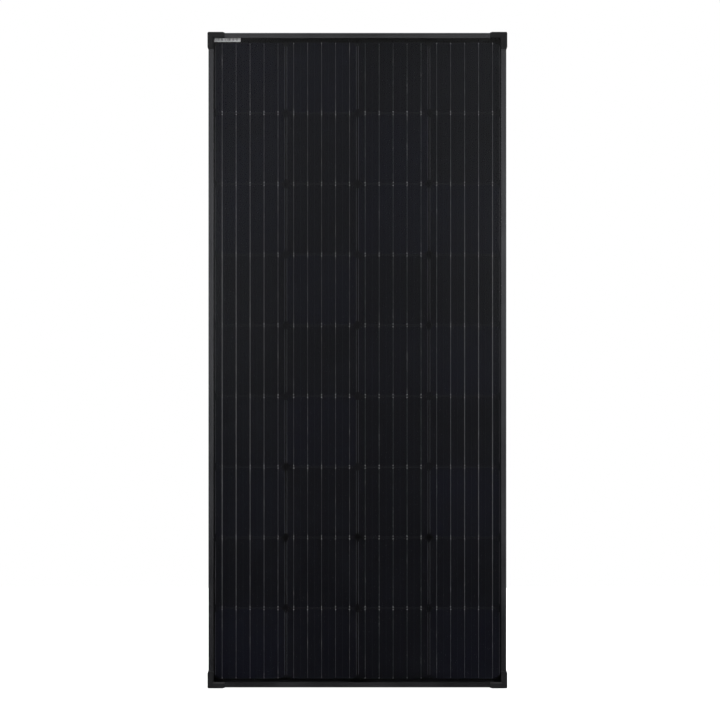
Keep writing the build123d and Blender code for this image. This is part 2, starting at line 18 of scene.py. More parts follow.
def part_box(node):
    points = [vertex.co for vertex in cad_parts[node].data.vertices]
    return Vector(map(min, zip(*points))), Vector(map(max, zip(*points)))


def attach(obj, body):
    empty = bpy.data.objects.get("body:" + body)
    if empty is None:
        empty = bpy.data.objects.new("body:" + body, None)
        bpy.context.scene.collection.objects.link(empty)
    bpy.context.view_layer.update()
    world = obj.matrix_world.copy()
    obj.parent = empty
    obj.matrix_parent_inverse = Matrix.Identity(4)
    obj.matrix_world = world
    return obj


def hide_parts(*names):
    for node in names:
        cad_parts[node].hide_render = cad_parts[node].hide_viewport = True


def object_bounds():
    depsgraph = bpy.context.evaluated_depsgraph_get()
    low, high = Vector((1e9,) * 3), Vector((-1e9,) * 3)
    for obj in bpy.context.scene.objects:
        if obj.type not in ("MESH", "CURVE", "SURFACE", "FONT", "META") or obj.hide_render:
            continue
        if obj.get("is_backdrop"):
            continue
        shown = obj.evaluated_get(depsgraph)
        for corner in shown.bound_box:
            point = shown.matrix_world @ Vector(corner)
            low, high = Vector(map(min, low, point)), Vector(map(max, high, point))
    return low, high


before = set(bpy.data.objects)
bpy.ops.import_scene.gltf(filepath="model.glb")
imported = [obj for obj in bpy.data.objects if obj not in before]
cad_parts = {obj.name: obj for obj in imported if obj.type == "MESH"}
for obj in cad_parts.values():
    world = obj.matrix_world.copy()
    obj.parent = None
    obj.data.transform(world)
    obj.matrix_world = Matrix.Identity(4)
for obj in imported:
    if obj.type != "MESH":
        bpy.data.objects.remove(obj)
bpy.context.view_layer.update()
log = logging.getLogger("solar_panel")

MM = 0.001
SAME = 0.001 * MM
SIDES = {"left": -1, "right": 1}
CORNERS = {
    "top_left": (-1, 1),
    "top_right": (1, 1),
    "bottom_left": (-1, -1),
    "bottom_right": (1, -1),
}
Colour = tuple[float, float, float]
Socket = bpy.types.NodeSocket
Inputs = dict[str, object]
BLACK_COAT: Colour = (0.006, 0.006, 0.006)


# ---------------------------------------------------------------- node helpers
class NodeSheet:
    """Adds nodes to one node tree and links them."""

    def __init__(self, tree: bpy.types.NodeTree) -> None:
        """Keep the node tree, a material's, a world's or a group's, that the nodes go into."""
        self.tree = tree

    def add(self, kind: str, **settings: object) -> bpy.types.Node:
        """Add a node.

        Args:
            kind: the node's type name.
            settings: attributes to set on it.
        Returns:
            The new node.
        """
        node = self.tree.nodes.new(kind)
        for name, value in settings.items():
            setattr(node, name, value)
        return node

    def feed(self, socket: Socket, value: object) -> None:
        """Link an output to an input, or set the input's own value.

        Args:
            socket: the input.
            value: an output socket, a number or a tuple.
        """
        if isinstance(value, bpy.types.NodeSocket):
            self.tree.links.new(value, socket)
        elif isinstance(value, tuple) and socket.type == "RGBA":
            socket.default_value = (*value, 1.0)
        else:
            socket.default_value = value

    def maths(self, operation: str, *values: object, clamp: bool = False) -> Socket:
        """Combine one to three numbers.

        Args:
            operation: the Math node's operation.
            values: outputs or numbers.
            clamp: whether the result is held between 0 and 1.
        Returns:
            The result.
        """
        node = self.add("ShaderNodeMath", operation=operation, use_clamp=clamp)
        for socket, value in zip(node.inputs, values):
            self.feed(socket, value)
        return node.outputs[0]

    def blend(self, factor: object, first: object, second: object) -> Socket:
        """Mix two colours.

        Args:
            factor: how much of the second, from 0 to 1.
            first: a colour or an output.
            second: a colour or an output.
        Returns:
            The mixed colour.
        """
        node = self.add("ShaderNodeMix", data_type="RGBA")
        self.feed(node.inputs["Factor"], factor)
        self.feed(node.inputs[6], first)
        self.feed(node.inputs[7], second)
        return node.outputs[2]

    def spread(self, value: Socket, low: float, high: float, to_low: float, to_high: float) -> Socket:
        """Map a range of numbers smoothly onto another.

        Args:
            value: the number to map.
            low: where the range starts.
            high: where the range ends.
            to_low: the result at low.
            to_high: the result at high.
        Returns:
            The mapped number.
        """
        node = self.add("ShaderNodeMapRange", interpolation_type="SMOOTHSTEP")
        for socket, number in zip(node.inputs, (value, low, high, to_low, to_high)):
            self.feed(socket, number)
        return node.outputs["Result"]

    def place(self) -> Socket:
        """Give the point of the surface, in the object's own axes."""
        return self.add("ShaderNodeTexCoord").outputs["Object"]

    def split(self, vector: Socket) -> tuple[Socket, Socket, Socket]:
        """Take a vector apart.

        Args:
            vector: the vector.
        Returns:
            Its X, Y and Z.
        """
        node = self.add("ShaderNodeSeparateXYZ")
        self.feed(node.inputs[0], vector)
        return node.outputs[0], node.outputs[1], node.outputs[2]

    def apart(self, value: object, level: object) -> Socket:
        """Give how far a number is from a level, never below 0."""
        return self.maths("ABSOLUTE", self.maths("SUBTRACT", value, level))

    def choose(self, factor: Socket, first: Socket, second: Socket) -> Socket:
        """Mix two shaders.

        Args:
            factor: how much of the second, from 0 to 1.
            first: a shader.
            second: a shader.
        Returns:
            The mixed shader.
        """
        node = self.add("ShaderNodeMixShader")
        for socket, value in zip(node.inputs, (factor, first, second)):
            self.feed(socket, value)
        return node.outputs[0]

    def stretch(self, vector: Socket, scale: tuple[float, float, float]) -> Socket:
        """Scale a vector along each axis.

        Args:
            vector: the vector.
            scale: its factor along X, Y and Z.
        Returns:
            The scaled vector.
        """
        node = self.add("ShaderNodeMapping")
        self.feed(node.inputs["Vector"], vector)
        node.inputs["Scale"].default_value = scale
        return node.outputs[0]

    def noise(self, vector: Socket, scale: float, detail: float = 3.0) -> Socket:
        """Give soft noise.

        Args:
            vector: where it is read.
            scale: how many features a metre.
            detail: how many finer layers it has.
        Returns:
            The noise, about 0 to 1.
        """
        node = self.add("ShaderNodeTexNoise")
        self.feed(node.inputs["Vector"], vector)
        node.inputs["Scale"].default_value = scale
        node.inputs["Detail"].default_value = detail
        return node.outputs[0]

    def group(self, tree: bpy.types.NodeTree, **values: object) -> bpy.types.Node:
        """Place a shared effect.

        Args:
            tree: the node group.
            values: its inputs by name, with _ for each space.
        Returns:
            The group node.
        """
        node = self.add("ShaderNodeGroup", node_tree=tree)
        for name, value in values.items():
            self.feed(node.inputs[name.replace("_", " ")], value)
        return node

    def bump(self, height: Socket, distance: float, strength: float = 1.0) -> Socket:
        """Turn a height into a normal.

        Args:
            height: the height, from 0 to 1.
            distance: how far 1 stands up, in metres.
            strength: how strongly it shows.
        Returns:
            The normal.
        """
        node = self.add("ShaderNodeBump")
        node.inputs["Distance"].default_value = distance
        node.inputs["Strength"].default_value = strength
        self.feed(node.inputs["Height"], height)
        return node.outputs[0]


def new_group(name: str, inputs: dict[str, tuple[str, float]], outputs: dict[str, str]) \
        -> tuple[bpy.types.NodeTree, NodeSheet, dict[str, Socket], dict[str, Socket]]:
    """Start a shader node group.

    Args:
        name: the effect's name.
        inputs: each input's kind, Float or Vector, and its usual value.
        outputs: each output's kind.
    Returns:
        The group, its sheet, and its inputs' and outputs' sockets inside it.
    """
    tree = bpy.data.node_groups.new(name, "ShaderNodeTree")
    for socket, (kind, usual) in inputs.items():
        made = tree.interface.new_socket(socket, in_out="INPUT", socket_type="NodeSocket" + kind)
        if kind == "Float":
            made.default_value = usual
    for socket, kind in outputs.items():
        tree.interface.new_socket(socket, in_out="OUTPUT", socket_type="NodeSocket" + kind)
    sheet = NodeSheet(tree)
    start, end = sheet.add("NodeGroupInput"), sheet.add("NodeGroupOutput")
    given = {socket: start.outputs[socket] for socket in inputs}
    wanted = {socket: end.inputs[socket] for socket in outputs}
    return tree, sheet, given, wanted


# ---------------------------------------------------------------- shared effects
def make_hairline() -> bpy.types.NodeTree:
    """Make a mask of one straight line, 1 on the line and soft at its edges.

    Returns:
        The node group.
    """
    tree, sheet, given, wanted = new_group(
        "hairline",
        {"Value": ("Float", 0.0), "Position": ("Float", 0.0), "Half Width": ("Float", 0.001)},
        {"Mask": "Float"})
    share = sheet.maths("DIVIDE", sheet.apart(given["Value"], given["Position"]), given["Half Width"])
    sheet.feed(wanted["Mask"], sheet.spread(share, 0.6, 1.4, 1.0, 0.0))
    return tree


def make_cell_layout() -> bpy.types.NodeTree:
    """Make the layout of the cells: a point's place in its cell, and that cell's number.

    Returns:
        The node group.
    """
    tree, sheet, given, wanted = new_group(
        "cell_layout",
        {"Vector": ("Vector", 0.0), "Column Pitch": ("Float", 0.16), "Row Pitch": ("Float", 0.16),
         "Drop": ("Float", 0.0)},
        {"Across": "Float", "Along": "Float", "Number": "Float"})
    x, _, z = sheet.split(given["Vector"])
    columns = sheet.maths("DIVIDE", x, given["Column Pitch"])
    column = sheet.maths("FLOOR", columns)
    across = sheet.maths("SUBTRACT", sheet.maths("SUBTRACT", columns, column), 0.5)
    rows = sheet.maths("ADD", sheet.maths("DIVIDE", sheet.maths("ADD", z, given["Drop"]),
                                          given["Row Pitch"]), 0.5)
    row = sheet.maths("FLOOR", rows)
    along = sheet.maths("SUBTRACT", sheet.maths("SUBTRACT", rows, row), 0.5)
    sheet.feed(wanted["Across"], sheet.maths("MULTIPLY", across, given["Column Pitch"]))
    sheet.feed(wanted["Along"], sheet.maths("MULTIPLY", along, given["Row Pitch"]))
    sheet.feed(wanted["Number"], sheet.maths("MULTIPLY_ADD", column, 17.0, row))
    return tree


def make_grain() -> bpy.types.NodeTree:
    """Make moulded or anodised grain: a fine height and a broad unevenness.

    Returns:
        The node group.
    """
    tree, sheet, given, wanted = new_group(
        "grain",
        {"Vector": ("Vector", 0.0), "Fine Scale": ("Float", 2000.0), "Broad Scale": ("Float", 30.0)},
        {"Height": "Float", "Unevenness": "Float"})
    fine = sheet.noise(given["Vector"], 1.0, 2.0)
    sheet.feed(fine.node.inputs["Scale"], given["Fine Scale"])
    broad = sheet.noise(given["Vector"], 1.0, 4.0)
    sheet.feed(broad.node.inputs["Scale"], given["Broad Scale"])
    sheet.feed(wanted["Height"], fine)
    sheet.feed(wanted["Unevenness"], sheet.spread(broad, 0.3, 0.7, 0.0, 1.0))
    return tree


def make_dust() -> bpy.types.NodeTree:
    """Make a mask of settled dust: specks and thin films in patches.

    Returns:
        The node group.
    """
    tree, sheet, given, wanted = new_group(
        "dust", {"Vector": ("Vector", 0.0), "Amount": ("Float", 0.2)}, {"Mask": "Float"})
    patches = sheet.spread(sheet.noise(given["Vector"], 7.0, 5.0), 0.45, 0.75, 0.0, 1.0)
    specks = sheet.spread(sheet.noise(given["Vector"], 420.0, 2.0), 0.62, 0.75, 0.0, 1.0)
    both = sheet.maths("MULTIPLY", patches, sheet.maths("MULTIPLY_ADD", specks, 0.7, 0.3))
    sheet.feed(wanted["Mask"], sheet.maths("MULTIPLY", both, given["Amount"], clamp=True))
    return tree


HAIRLINE = make_hairline()
CELL_LAYOUT = make_cell_layout()
GRAIN = make_grain()
DUST = make_dust()


def line_mask(sheet: NodeSheet, value: Socket, position: float, half_width: float) -> Socket:
    """Add the mask of one straight line to a sheet.

    Args:
        sheet: the material's sheet.
        value: the length that is read across the line.
        position: where the line lies along that length.
        half_width: half the line's width.
    Returns:
        The mask.
    """
    line = sheet.group(HAIRLINE, Value=value, Position=position, Half_Width=half_width)
    return line.outputs["Mask"]


# ---------------------------------------------------------------- finishes
@dataclass(frozen=True)
class Finish:
    """A finish: a named material around one Principled shader."""

    name: str
    colour: Colour = (0.02, 0.02, 0.02)
    roughness: float = 0.5
    metallic: float = 0.0
    specular: float = 0.5

    def shade(self, factor: float) -> Colour:
        """Give the finish's colour with each channel multiplied by a factor."""
        red, green, blue = self.colour
        return factor * red, factor * green, factor * blue

    def look(self, sheet: NodeSheet) -> Inputs:
        """Give what feeds the shader's inputs by name, where it isn't a plain value."""
        return {}

    def make(self) -> bpy.types.Material:
        """Make the material.

        Returns:
            The finished material.
        """
        material = bpy.data.materials.new(self.name)
        material.use_nodes = True
        material.diffuse_color = (*self.colour, 1.0)
        shader = material.node_tree.nodes["Principled BSDF"]
        sheet = NodeSheet(material.node_tree)
        plain = {"Base Color": self.colour, "Roughness": self.roughness, "Metallic": self.metallic,
                 "Specular IOR Level": self.specular}
        for name, value in {**plain, **self.look(sheet)}.items():
            sheet.feed(shader.inputs[name], value)
        return material


class Run(Enum):
    """Which way a rail's extrusion lines run."""

    UPRIGHT = (900.0, 900.0, 5.0)
    ACROSS = (5.0, 900.0, 900.0)


@dataclass(frozen=True)
class Anodised(Finish):
    """Black anodised extrusion with die lines, a mitre seam and light dust."""

    run: Run = Run.UPRIGHT
    half_width: float = 0.3335
    half_height: float = 0.733
    seam: float = 0.18 * MM
    seam_colour: Colour = (0.002, 0.002, 0.002)
    dust_colour: Colour = (0.22, 0.21, 0.20)

    def look(self, sheet: NodeSheet) -> Inputs:
        """Work out what differs from the plain values.

        Args:
            sheet: the material's sheet.
        Returns:
            What feeds the shader's inputs, by name.
        """
        place = sheet.place()
        x, _, z = sheet.split(place)
        lines = sheet.noise(sheet.stretch(place, self.run.value), 1.0, 2.0)
        grain = sheet.group(GRAIN, Vector=place, Fine_Scale=2600.0, Broad_Scale=9.0)
        dust = sheet.group(DUST, Vector=place, Amount=0.10)
        from_side = sheet.maths("SUBTRACT", self.half_width, sheet.maths("ABSOLUTE", x))
        from_end = sheet.maths("SUBTRACT", self.half_height, sheet.maths("ABSOLUTE", z))
        mitre = line_mask(sheet, sheet.maths("SUBTRACT", from_side, from_end), 0.0, self.seam)
        drawn = sheet.blend(sheet.spread(lines, 0.3, 0.7, 0.0, 1.0), self.colour, self.shade(1.45))
        dusty = sheet.blend(dust.outputs["Mask"], drawn, self.dust_colour)
        fine = sheet.maths("MULTIPLY", grain.outputs["Height"], 0.3)
        height = sheet.maths("MULTIPLY_ADD", lines, 0.7, fine)
        uneven = grain.outputs["Unevenness"]
        return {
            "Base Color": sheet.blend(mitre, dusty, self.seam_colour),
            "Roughness": sheet.maths("MULTIPLY_ADD", uneven, 0.09, self.roughness - 0.04),
            "Normal": sheet.bump(height, 0.02 * MM, 0.5),
        }


@dataclass(frozen=True)
class Moulded(Finish):
    """Moulded plastic or rubber: spark-eroded grain, uneven gloss and pale scuffs."""

    grain_scale: float = 1800.0
    grain_depth: float = 0.03 * MM
    scuff: float = 0.12
    scuff_colour: Colour = (0.16, 0.16, 0.165)

    def look(self, sheet: NodeSheet) -> Inputs:
        """Work out what differs from the plain values.

        Args:
            sheet: the material's sheet.
        Returns:
            What feeds the shader's inputs, by name.
        """
        place = sheet.place()
        grain = sheet.group(GRAIN, Vector=place, Fine_Scale=self.grain_scale, Broad_Scale=60.0)
        dust = sheet.group(DUST, Vector=place, Amount=self.scuff)
        rubbed = sheet.spread(sheet.noise(sheet.stretch(place, (300.0, 300.0, 60.0)), 1.0, 3.0),
                              0.62, 0.8, 0.0, self.scuff)
        worn = sheet.maths("ADD", rubbed, dust.outputs["Mask"], clamp=True)
        uneven = grain.outputs["Unevenness"]
        tone = sheet.blend(uneven, self.colour, self.shade(1.35))
        return {
            "Base Color": sheet.blend(worn, tone, self.scuff_colour),
            "Roughness": sheet.maths("MULTIPLY_ADD", uneven, 0.12, self.roughness - 0.06),
            "Normal": sheet.bump(grain.outputs["Height"], self.grain_depth, 0.6),
        }


@dataclass(frozen=True)
class Grid:
    """Where the cells lie: pitches, sizes and the busbars' spacing."""

    column_pitch: float
    row_pitch: float
    cell_width: float
    cell_height: float
    drop: float
    rows: int = 9
    busbars: int = 5

    def half_height(self) -> float:
        """Give the distance from the middle of the array of cells to its upper edge."""
        return (self.rows * self.row_pitch - (self.row_pitch - self.cell_height)) / 2

    def place_in_cell(self, sheet: NodeSheet, place: Socket) -> bpy.types.Node:
        """Add the cell layout of a point of the surface, and give its group node."""
        return sheet.group(CELL_LAYOUT, Vector=place, Column_Pitch=self.column_pitch,
                           Row_Pitch=self.row_pitch, Drop=self.drop)

    def repeat(self, sheet: NodeSheet, value: Socket, pitch: float, shift: float) -> Socket:
        """Fold a length into one pitch, centred on zero.

        Args:
            sheet: the material's sheet.
            value: the length.
            pitch: the repeat's length.
            shift: where a repeat's centre lies.
        Returns:
            The distance from the nearest centre.
        """
        turns = sheet.maths("DIVIDE", sheet.maths("SUBTRACT", value, shift), pitch)
        nearest = sheet.maths("ROUND", turns)
        return sheet.maths("MULTIPLY", sheet.maths("SUBTRACT", turns, nearest), pitch)


@dataclass(frozen=True)
class SiliconCell(Finish):
    """Blue-black silicon with printed fingers, border lines and a tint of its own.

    Each line has its half width and its strength, from 0 to 1.
    """

    grid: Grid | None = None
    navy: Colour = (0.0034, 0.0039, 0.0102)
    silver: Colour = (0.22, 0.22, 0.24)
    finger_pitch: float = 1.56 * MM
    border_inset: float = 0.6 * MM
    side_line: tuple[float, float] = (0.28 * MM, 0.6)
    end_line: tuple[float, float] = (0.16 * MM, 0.22)
    middle_line: tuple[float, float] = (0.12 * MM, 0.25)
    finger_line: tuple[float, float] = (0.03 * MM, 0.006)

    def look(self, sheet: NodeSheet) -> Inputs:
        """Work out what differs from the plain values.

        Args:
            sheet: the material's sheet.
        Returns:
            What feeds the shader's inputs, by name.
        """
        grid, place = self.grid, sheet.place()
        layout = grid.place_in_cell(sheet, place)
        across, along = layout.outputs["Across"], layout.outputs["Along"]
        tint = sheet.add("ShaderNodeTexWhiteNoise", noise_dimensions="1D")
        sheet.feed(tint.inputs["W"], layout.outputs["Number"])
        cloud = sheet.noise(place, 9.0, 1.0)
        base = sheet.blend(sheet.spread(tint.outputs["Value"], 0.35, 1.0, 0.0, 1.0), self.colour, self.navy)
        base = sheet.blend(sheet.spread(cloud, 0.35, 0.75, 0.0, 0.6), base, self.shade(1.5))
        busbar_pitch = grid.cell_width / grid.busbars
        lines = (
            (sheet.maths("ABSOLUTE", across), grid.cell_width / 2 - self.border_inset, self.side_line),
            (sheet.maths("ABSOLUTE", along), grid.cell_height / 2 - self.border_inset, self.end_line),
            (grid.repeat(sheet, across, busbar_pitch, busbar_pitch / 2), 0.0, self.middle_line),
            (grid.repeat(sheet, along, self.finger_pitch, 0.0), 0.0, self.finger_line),
        )
        printed = 0.0
        for value, position, (half_width, strength) in lines:
            mask = line_mask(sheet, value, position, half_width)
            printed = sheet.maths("MULTIPLY_ADD", mask, strength, printed, clamp=True)
        return {
            "Base Color": sheet.blend(printed, base, self.silver),
            "Roughness": sheet.spread(cloud, 0.2, 0.8, self.roughness, self.roughness + 0.15),
        }


@dataclass(frozen=True)
class TinnedRibbon(Finish):
    """Tinned copper ribbon, wavy and streaked along its length, with a painted highlight at each cell's edge.

    Its streaks are uneven tin brightened as painted glints. It has painted highlights too in the outer
    columns, most of all along a belt across the panel, and at the ends of the first and last row, and it is
    coated black beyond the first and last row.
    """

    grid: Grid | None = None
    painted_highlight: Colour = (0.5, 0.5, 0.5)
    # The painted highlight at each cell's edge: how far it reaches and how strong it is.
    edge_reach: float = 3.5 * MM
    painted_edge_highlight: float = 0.2
    # How far the streaks are brightened as painted glints.
    streak_glint: float = 0.55
    # Where the painted highlight at the ends of the first and last row starts and ends, in from the array's
    # edge.
    tip_start: float = 4.0 * MM
    tip_end: float = 1.0 * MM
    # A painted highlight in the outer columns, strongest along a belt across the panel: its strength, where
    # it starts and ends across, and the belt's height and reach.
    side_highlight: float = 0.62
    flank_start: float = 0.14
    flank_end: float = 0.3
    belt: float = -0.06
    belt_start: float = 0.2
    belt_end: float = 0.7

    def look(self, sheet: NodeSheet) -> Inputs:
        """Work out what differs from the plain values.

        Args:
            sheet: the material's sheet.
        Returns:
            What feeds the shader's inputs, by name.
        """
        grid, place = self.grid, sheet.place()
        layout = grid.place_in_cell(sheet, place)
        # Painted highlight along each cell's edge, where the ribbon bends into the row gap.
        from_edge = sheet.maths("SUBTRACT", grid.cell_height / 2,
                                sheet.maths("ABSOLUTE", layout.outputs["Along"]))
        edge_highlight = sheet.spread(from_edge, 0.0, self.edge_reach, self.painted_edge_highlight, 0.0)
        # Streaks and dots along the ribbon: uneven tin, brightened as painted glints.
        streaks = sheet.noise(sheet.stretch(place, (14.0, 1.0, 26.0)), 1.0, 3.0)
        dots = sheet.noise(sheet.stretch(place, (31.0, 1.0, 190.0)), 1.0, 1.0)
        patchy = sheet.maths("MULTIPLY", sheet.spread(streaks, 0.45, 0.75, 0.0, 1.0),
                             sheet.spread(dots, 0.35, 0.75, 0.15, 1.0))
        streaks_and_highlights = sheet.maths("MULTIPLY_ADD", patchy, self.streak_glint, edge_highlight, clamp=True)
        # Painted highlight in the outer columns, strongest along a belt at the belt's height.
        x, _, z = sheet.split(place)
        from_side = sheet.maths("ABSOLUTE", x)
        side_highlight = sheet.maths("MULTIPLY",
                            sheet.spread(from_side, self.flank_start, self.flank_end, 0.0, self.side_highlight),
                            sheet.spread(sheet.apart(z, self.belt), self.belt_start, self.belt_end, 1.0, 0.1))
        last = grid.half_height()
        from_middle = sheet.apart(z, -grid.drop)
        # Painted highlight at the ends of the first and last row, flecked by the dots, added to the side
        # highlight.
        tip = sheet.spread(from_middle, last - self.tip_start, last - self.tip_end, 0.0, 1.0)
        side_and_tip_highlights = sheet.maths("MULTIPLY_ADD", tip, sheet.spread(dots, 0.3, 0.6, 0.2, 1.0), side_highlight)
        streaks_and_highlights = sheet.maths("ADD", streaks_and_highlights, side_and_tip_highlights, clamp=True)
        # Blend towards the pale painted highlight colour wherever the streaks and the painted highlights
        # reach.
        tone = sheet.blend(streaks_and_highlights, self.colour, self.painted_highlight)
        beyond = sheet.maths("GREATER_THAN", from_middle, last)
        return {
            "Base Color": sheet.blend(beyond, tone, BLACK_COAT),
            "Roughness": sheet.spread(streaks, 0.3, 0.7, self.roughness, self.roughness + 0.2),
            "Normal": sheet.bump(dots, 0.12 * MM, 0.6),
        }


@dataclass(frozen=True)
class ClearSheet(Finish):
    """Clear sheet, glass or film: a share of it is surface, and the rest is seen through."""

    alpha: float = 0.2
    ior: float = 1.5

    def look(self, sheet: NodeSheet) -> Inputs:
        """Give the sheet's share of surface and its bending of light."""
        return {"Alpha": self.alpha, "IOR": self.ior}


@dataclass(frozen=True)
class Backsheet(Finish):
    """Black rear film that shows the cells and ribbons laminated under it."""

    grid: Grid | None = None
    gap_half_width: float = 1.4 * MM
    ribbon_half_width: float = 1.1 * MM
    dust_colour: Colour = (0.15, 0.15, 0.155)

    def look(self, sheet: NodeSheet) -> Inputs:
        """Work out what differs from the plain values.

        Args:
            sheet: the material's sheet.
        Returns:
            What feeds the shader's inputs, by name.
        """
        grid, place = self.grid, sheet.place()
        layout = grid.place_in_cell(sheet, place)
        across, along = layout.outputs["Across"], layout.outputs["Along"]
        side = line_mask(sheet, sheet.maths("ABSOLUTE", across), grid.cell_width / 2, self.gap_half_width)
        end = line_mask(sheet, sheet.maths("ABSOLUTE", along), grid.cell_height / 2, self.gap_half_width)
        from_ribbon = grid.repeat(sheet, across, grid.cell_width / grid.busbars, 0.0)
        ribbon = line_mask(sheet, from_ribbon, 0.0, self.ribbon_half_width)
        grain = sheet.group(GRAIN, Vector=place, Fine_Scale=900.0, Broad_Scale=14.0)
        dust = sheet.group(DUST, Vector=place, Amount=0.05)
        raised = sheet.maths("MULTIPLY", ribbon, 0.6)
        sunk = sheet.maths("MAXIMUM", side, end)
        height = sheet.maths("ADD", sheet.maths("SUBTRACT", raised, sunk),
                             sheet.maths("MULTIPLY", grain.outputs["Height"], 0.12))
        tone = sheet.blend(sheet.maths("MULTIPLY_ADD", raised, 0.6, grain.outputs["Unevenness"], clamp=True),
                           self.colour, self.shade(1.2))
        return {
            "Base Color": sheet.blend(dust.outputs["Mask"], tone, self.dust_colour),
            "Roughness": sheet.maths("MULTIPLY_ADD", grain.outputs["Unevenness"], 0.12, self.roughness),
            "Normal": sheet.bump(height, 0.25 * MM, 0.8),
        }


@dataclass(frozen=True)
class BarLabel(Finish):
    """Pale label with a plain bar pattern, a clear lower edge and a clear end band."""

    low: Vector = field(default_factory=Vector)
    high: Vector = field(default_factory=Vector)
    ink: Colour = (0.34, 0.34, 0.35)
    bar: float = 0.6 * MM
    edge: float = 2.4 * MM
    band: float = 5.5 * MM

    def look(self, sheet: NodeSheet) -> Inputs:
        """Work out what differs from the plain values.

        Args:
            sheet: the material's sheet.
        Returns:
            What feeds the shader's inputs, by name.
        """
        place = sheet.place()
        x, _, z = sheet.split(place)
        stripe = sheet.add("ShaderNodeTexWhiteNoise", noise_dimensions="1D")
        sheet.feed(stripe.inputs["W"], sheet.maths("FLOOR", sheet.maths("DIVIDE", x, self.bar)))
        bars = sheet.maths("GREATER_THAN", stripe.outputs["Value"], 0.52)
        above = sheet.maths("GREATER_THAN", z, self.low.z + self.edge)
        before = sheet.maths("LESS_THAN", x, self.high.x - self.band)
        printed = sheet.maths("MULTIPLY", bars, sheet.maths("MULTIPLY", above, before))
        wash = sheet.maths("MULTIPLY", sheet.noise(place, 160.0, 3.0), 0.12)
        paper = sheet.blend(wash, self.colour, self.shade(0.6))
        return {"Base Color": sheet.blend(printed, paper, self.ink)}


@dataclass(frozen=True)
class TableLabel(Finish):
    """Pale label with an empty ruled table under a dark heading band."""

    low: Vector = field(default_factory=Vector)
    high: Vector = field(default_factory=Vector)
    ink: Colour = (0.03, 0.03, 0.03)
    rows: int = 9
    margin: float = 4.0 * MM
    rule: float = 0.22 * MM
    post: float = 0.25 * MM
    heading: float = 1.6

    def look(self, sheet: NodeSheet) -> Inputs:
        """Work out what differs from the plain values.

        Args:
            sheet: the material's sheet.
        Returns:
            What feeds the shader's inputs, by name.
        """
        place = sheet.place()
        x, _, z = sheet.split(place)
        height = self.high.z - self.low.z - 2 * self.margin
        pitch = height / self.rows
        from_low = sheet.maths("SUBTRACT", z, self.low.z + self.margin)
        turns = sheet.maths("DIVIDE", from_low, pitch)
        off_line = sheet.maths("MULTIPLY", sheet.maths("SUBTRACT", turns, sheet.maths("ROUND", turns)), pitch)
        rules = line_mask(sheet, off_line, 0.0, self.rule)
        width = self.high.x - self.low.x
        posts = [self.low.x + self.margin, self.low.x + 0.56 * width, self.high.x - self.margin]
        for post in posts:
            rules = sheet.maths("MAXIMUM", rules, line_mask(sheet, x, post, self.post))
        heading = sheet.maths("GREATER_THAN", z, self.high.z - self.margin - self.heading * pitch)
        printed = sheet.maths("MAXIMUM", rules, heading)
        overlap = 0.3 * MM
        limits = (("LESS_THAN", z, self.high.z - self.margin),
                  ("GREATER_THAN", z, self.low.z + self.margin - overlap),
                  ("LESS_THAN", x, self.high.x - self.margin + overlap),
                  ("GREATER_THAN", x, self.low.x + self.margin - overlap))
        for side, value, limit in limits:
            printed = sheet.maths("MULTIPLY", printed, sheet.maths(side, value, limit))
        wash = sheet.maths("MULTIPLY", sheet.noise(place, 60.0, 3.0), 0.3)
        paper = sheet.blend(wash, self.colour, self.shade(0.75))
        return {"Base Color": sheet.blend(printed, paper, self.ink)}


@dataclass(frozen=True)
class BareMetal(Finish):
    """Plated or rolled metal with fine scratches and dull patches.

    Foil has a black coat on whatever lies in front of the level black_before.
    """

    dull: Colour = (0.25, 0.25, 0.25)
    scratch: tuple[float, float, float] = (60.0, 2400.0, 2400.0)
    black_before: float | None = None

    def look(self, sheet: NodeSheet) -> Inputs:
        """Work out what differs from the plain values.

        Args:
            sheet: the material's sheet.
        Returns:
            What feeds the shader's inputs, by name.
        """
        place = sheet.place()
        grain = sheet.group(GRAIN, Vector=place, Fine_Scale=4000.0, Broad_Scale=180.0)
        scratches = sheet.noise(sheet.stretch(place, self.scratch), 1.0, 2.0)
        patch = sheet.maths("MULTIPLY", grain.outputs["Unevenness"], 0.5)
        tone = sheet.blend(patch, self.colour, self.dull)
        if self.black_before is not None:
            coated = sheet.maths("LESS_THAN", sheet.split(place)[1], self.black_before)
            tone = sheet.blend(coated, tone, BLACK_COAT)
        return {
            "Base Color": tone,
            "Roughness": sheet.spread(scratches, 0.3, 0.7, self.roughness - 0.08, self.roughness + 0.12),
            "Normal": sheet.bump(scratches, 0.02 * MM, 0.4),
        }


# ---------------------------------------------------------------- mesh helpers
def place_object(name: str, data: bpy.types.ID) -> bpy.types.Object:
    """Put a new object into the scene.

    Args:
        name: its name.
        data: its mesh, lamp or camera.
    Returns:
        The object.
    """
    made = bpy.data.objects.new(name, data)
    bpy.context.scene.collection.objects.link(made)
    return made


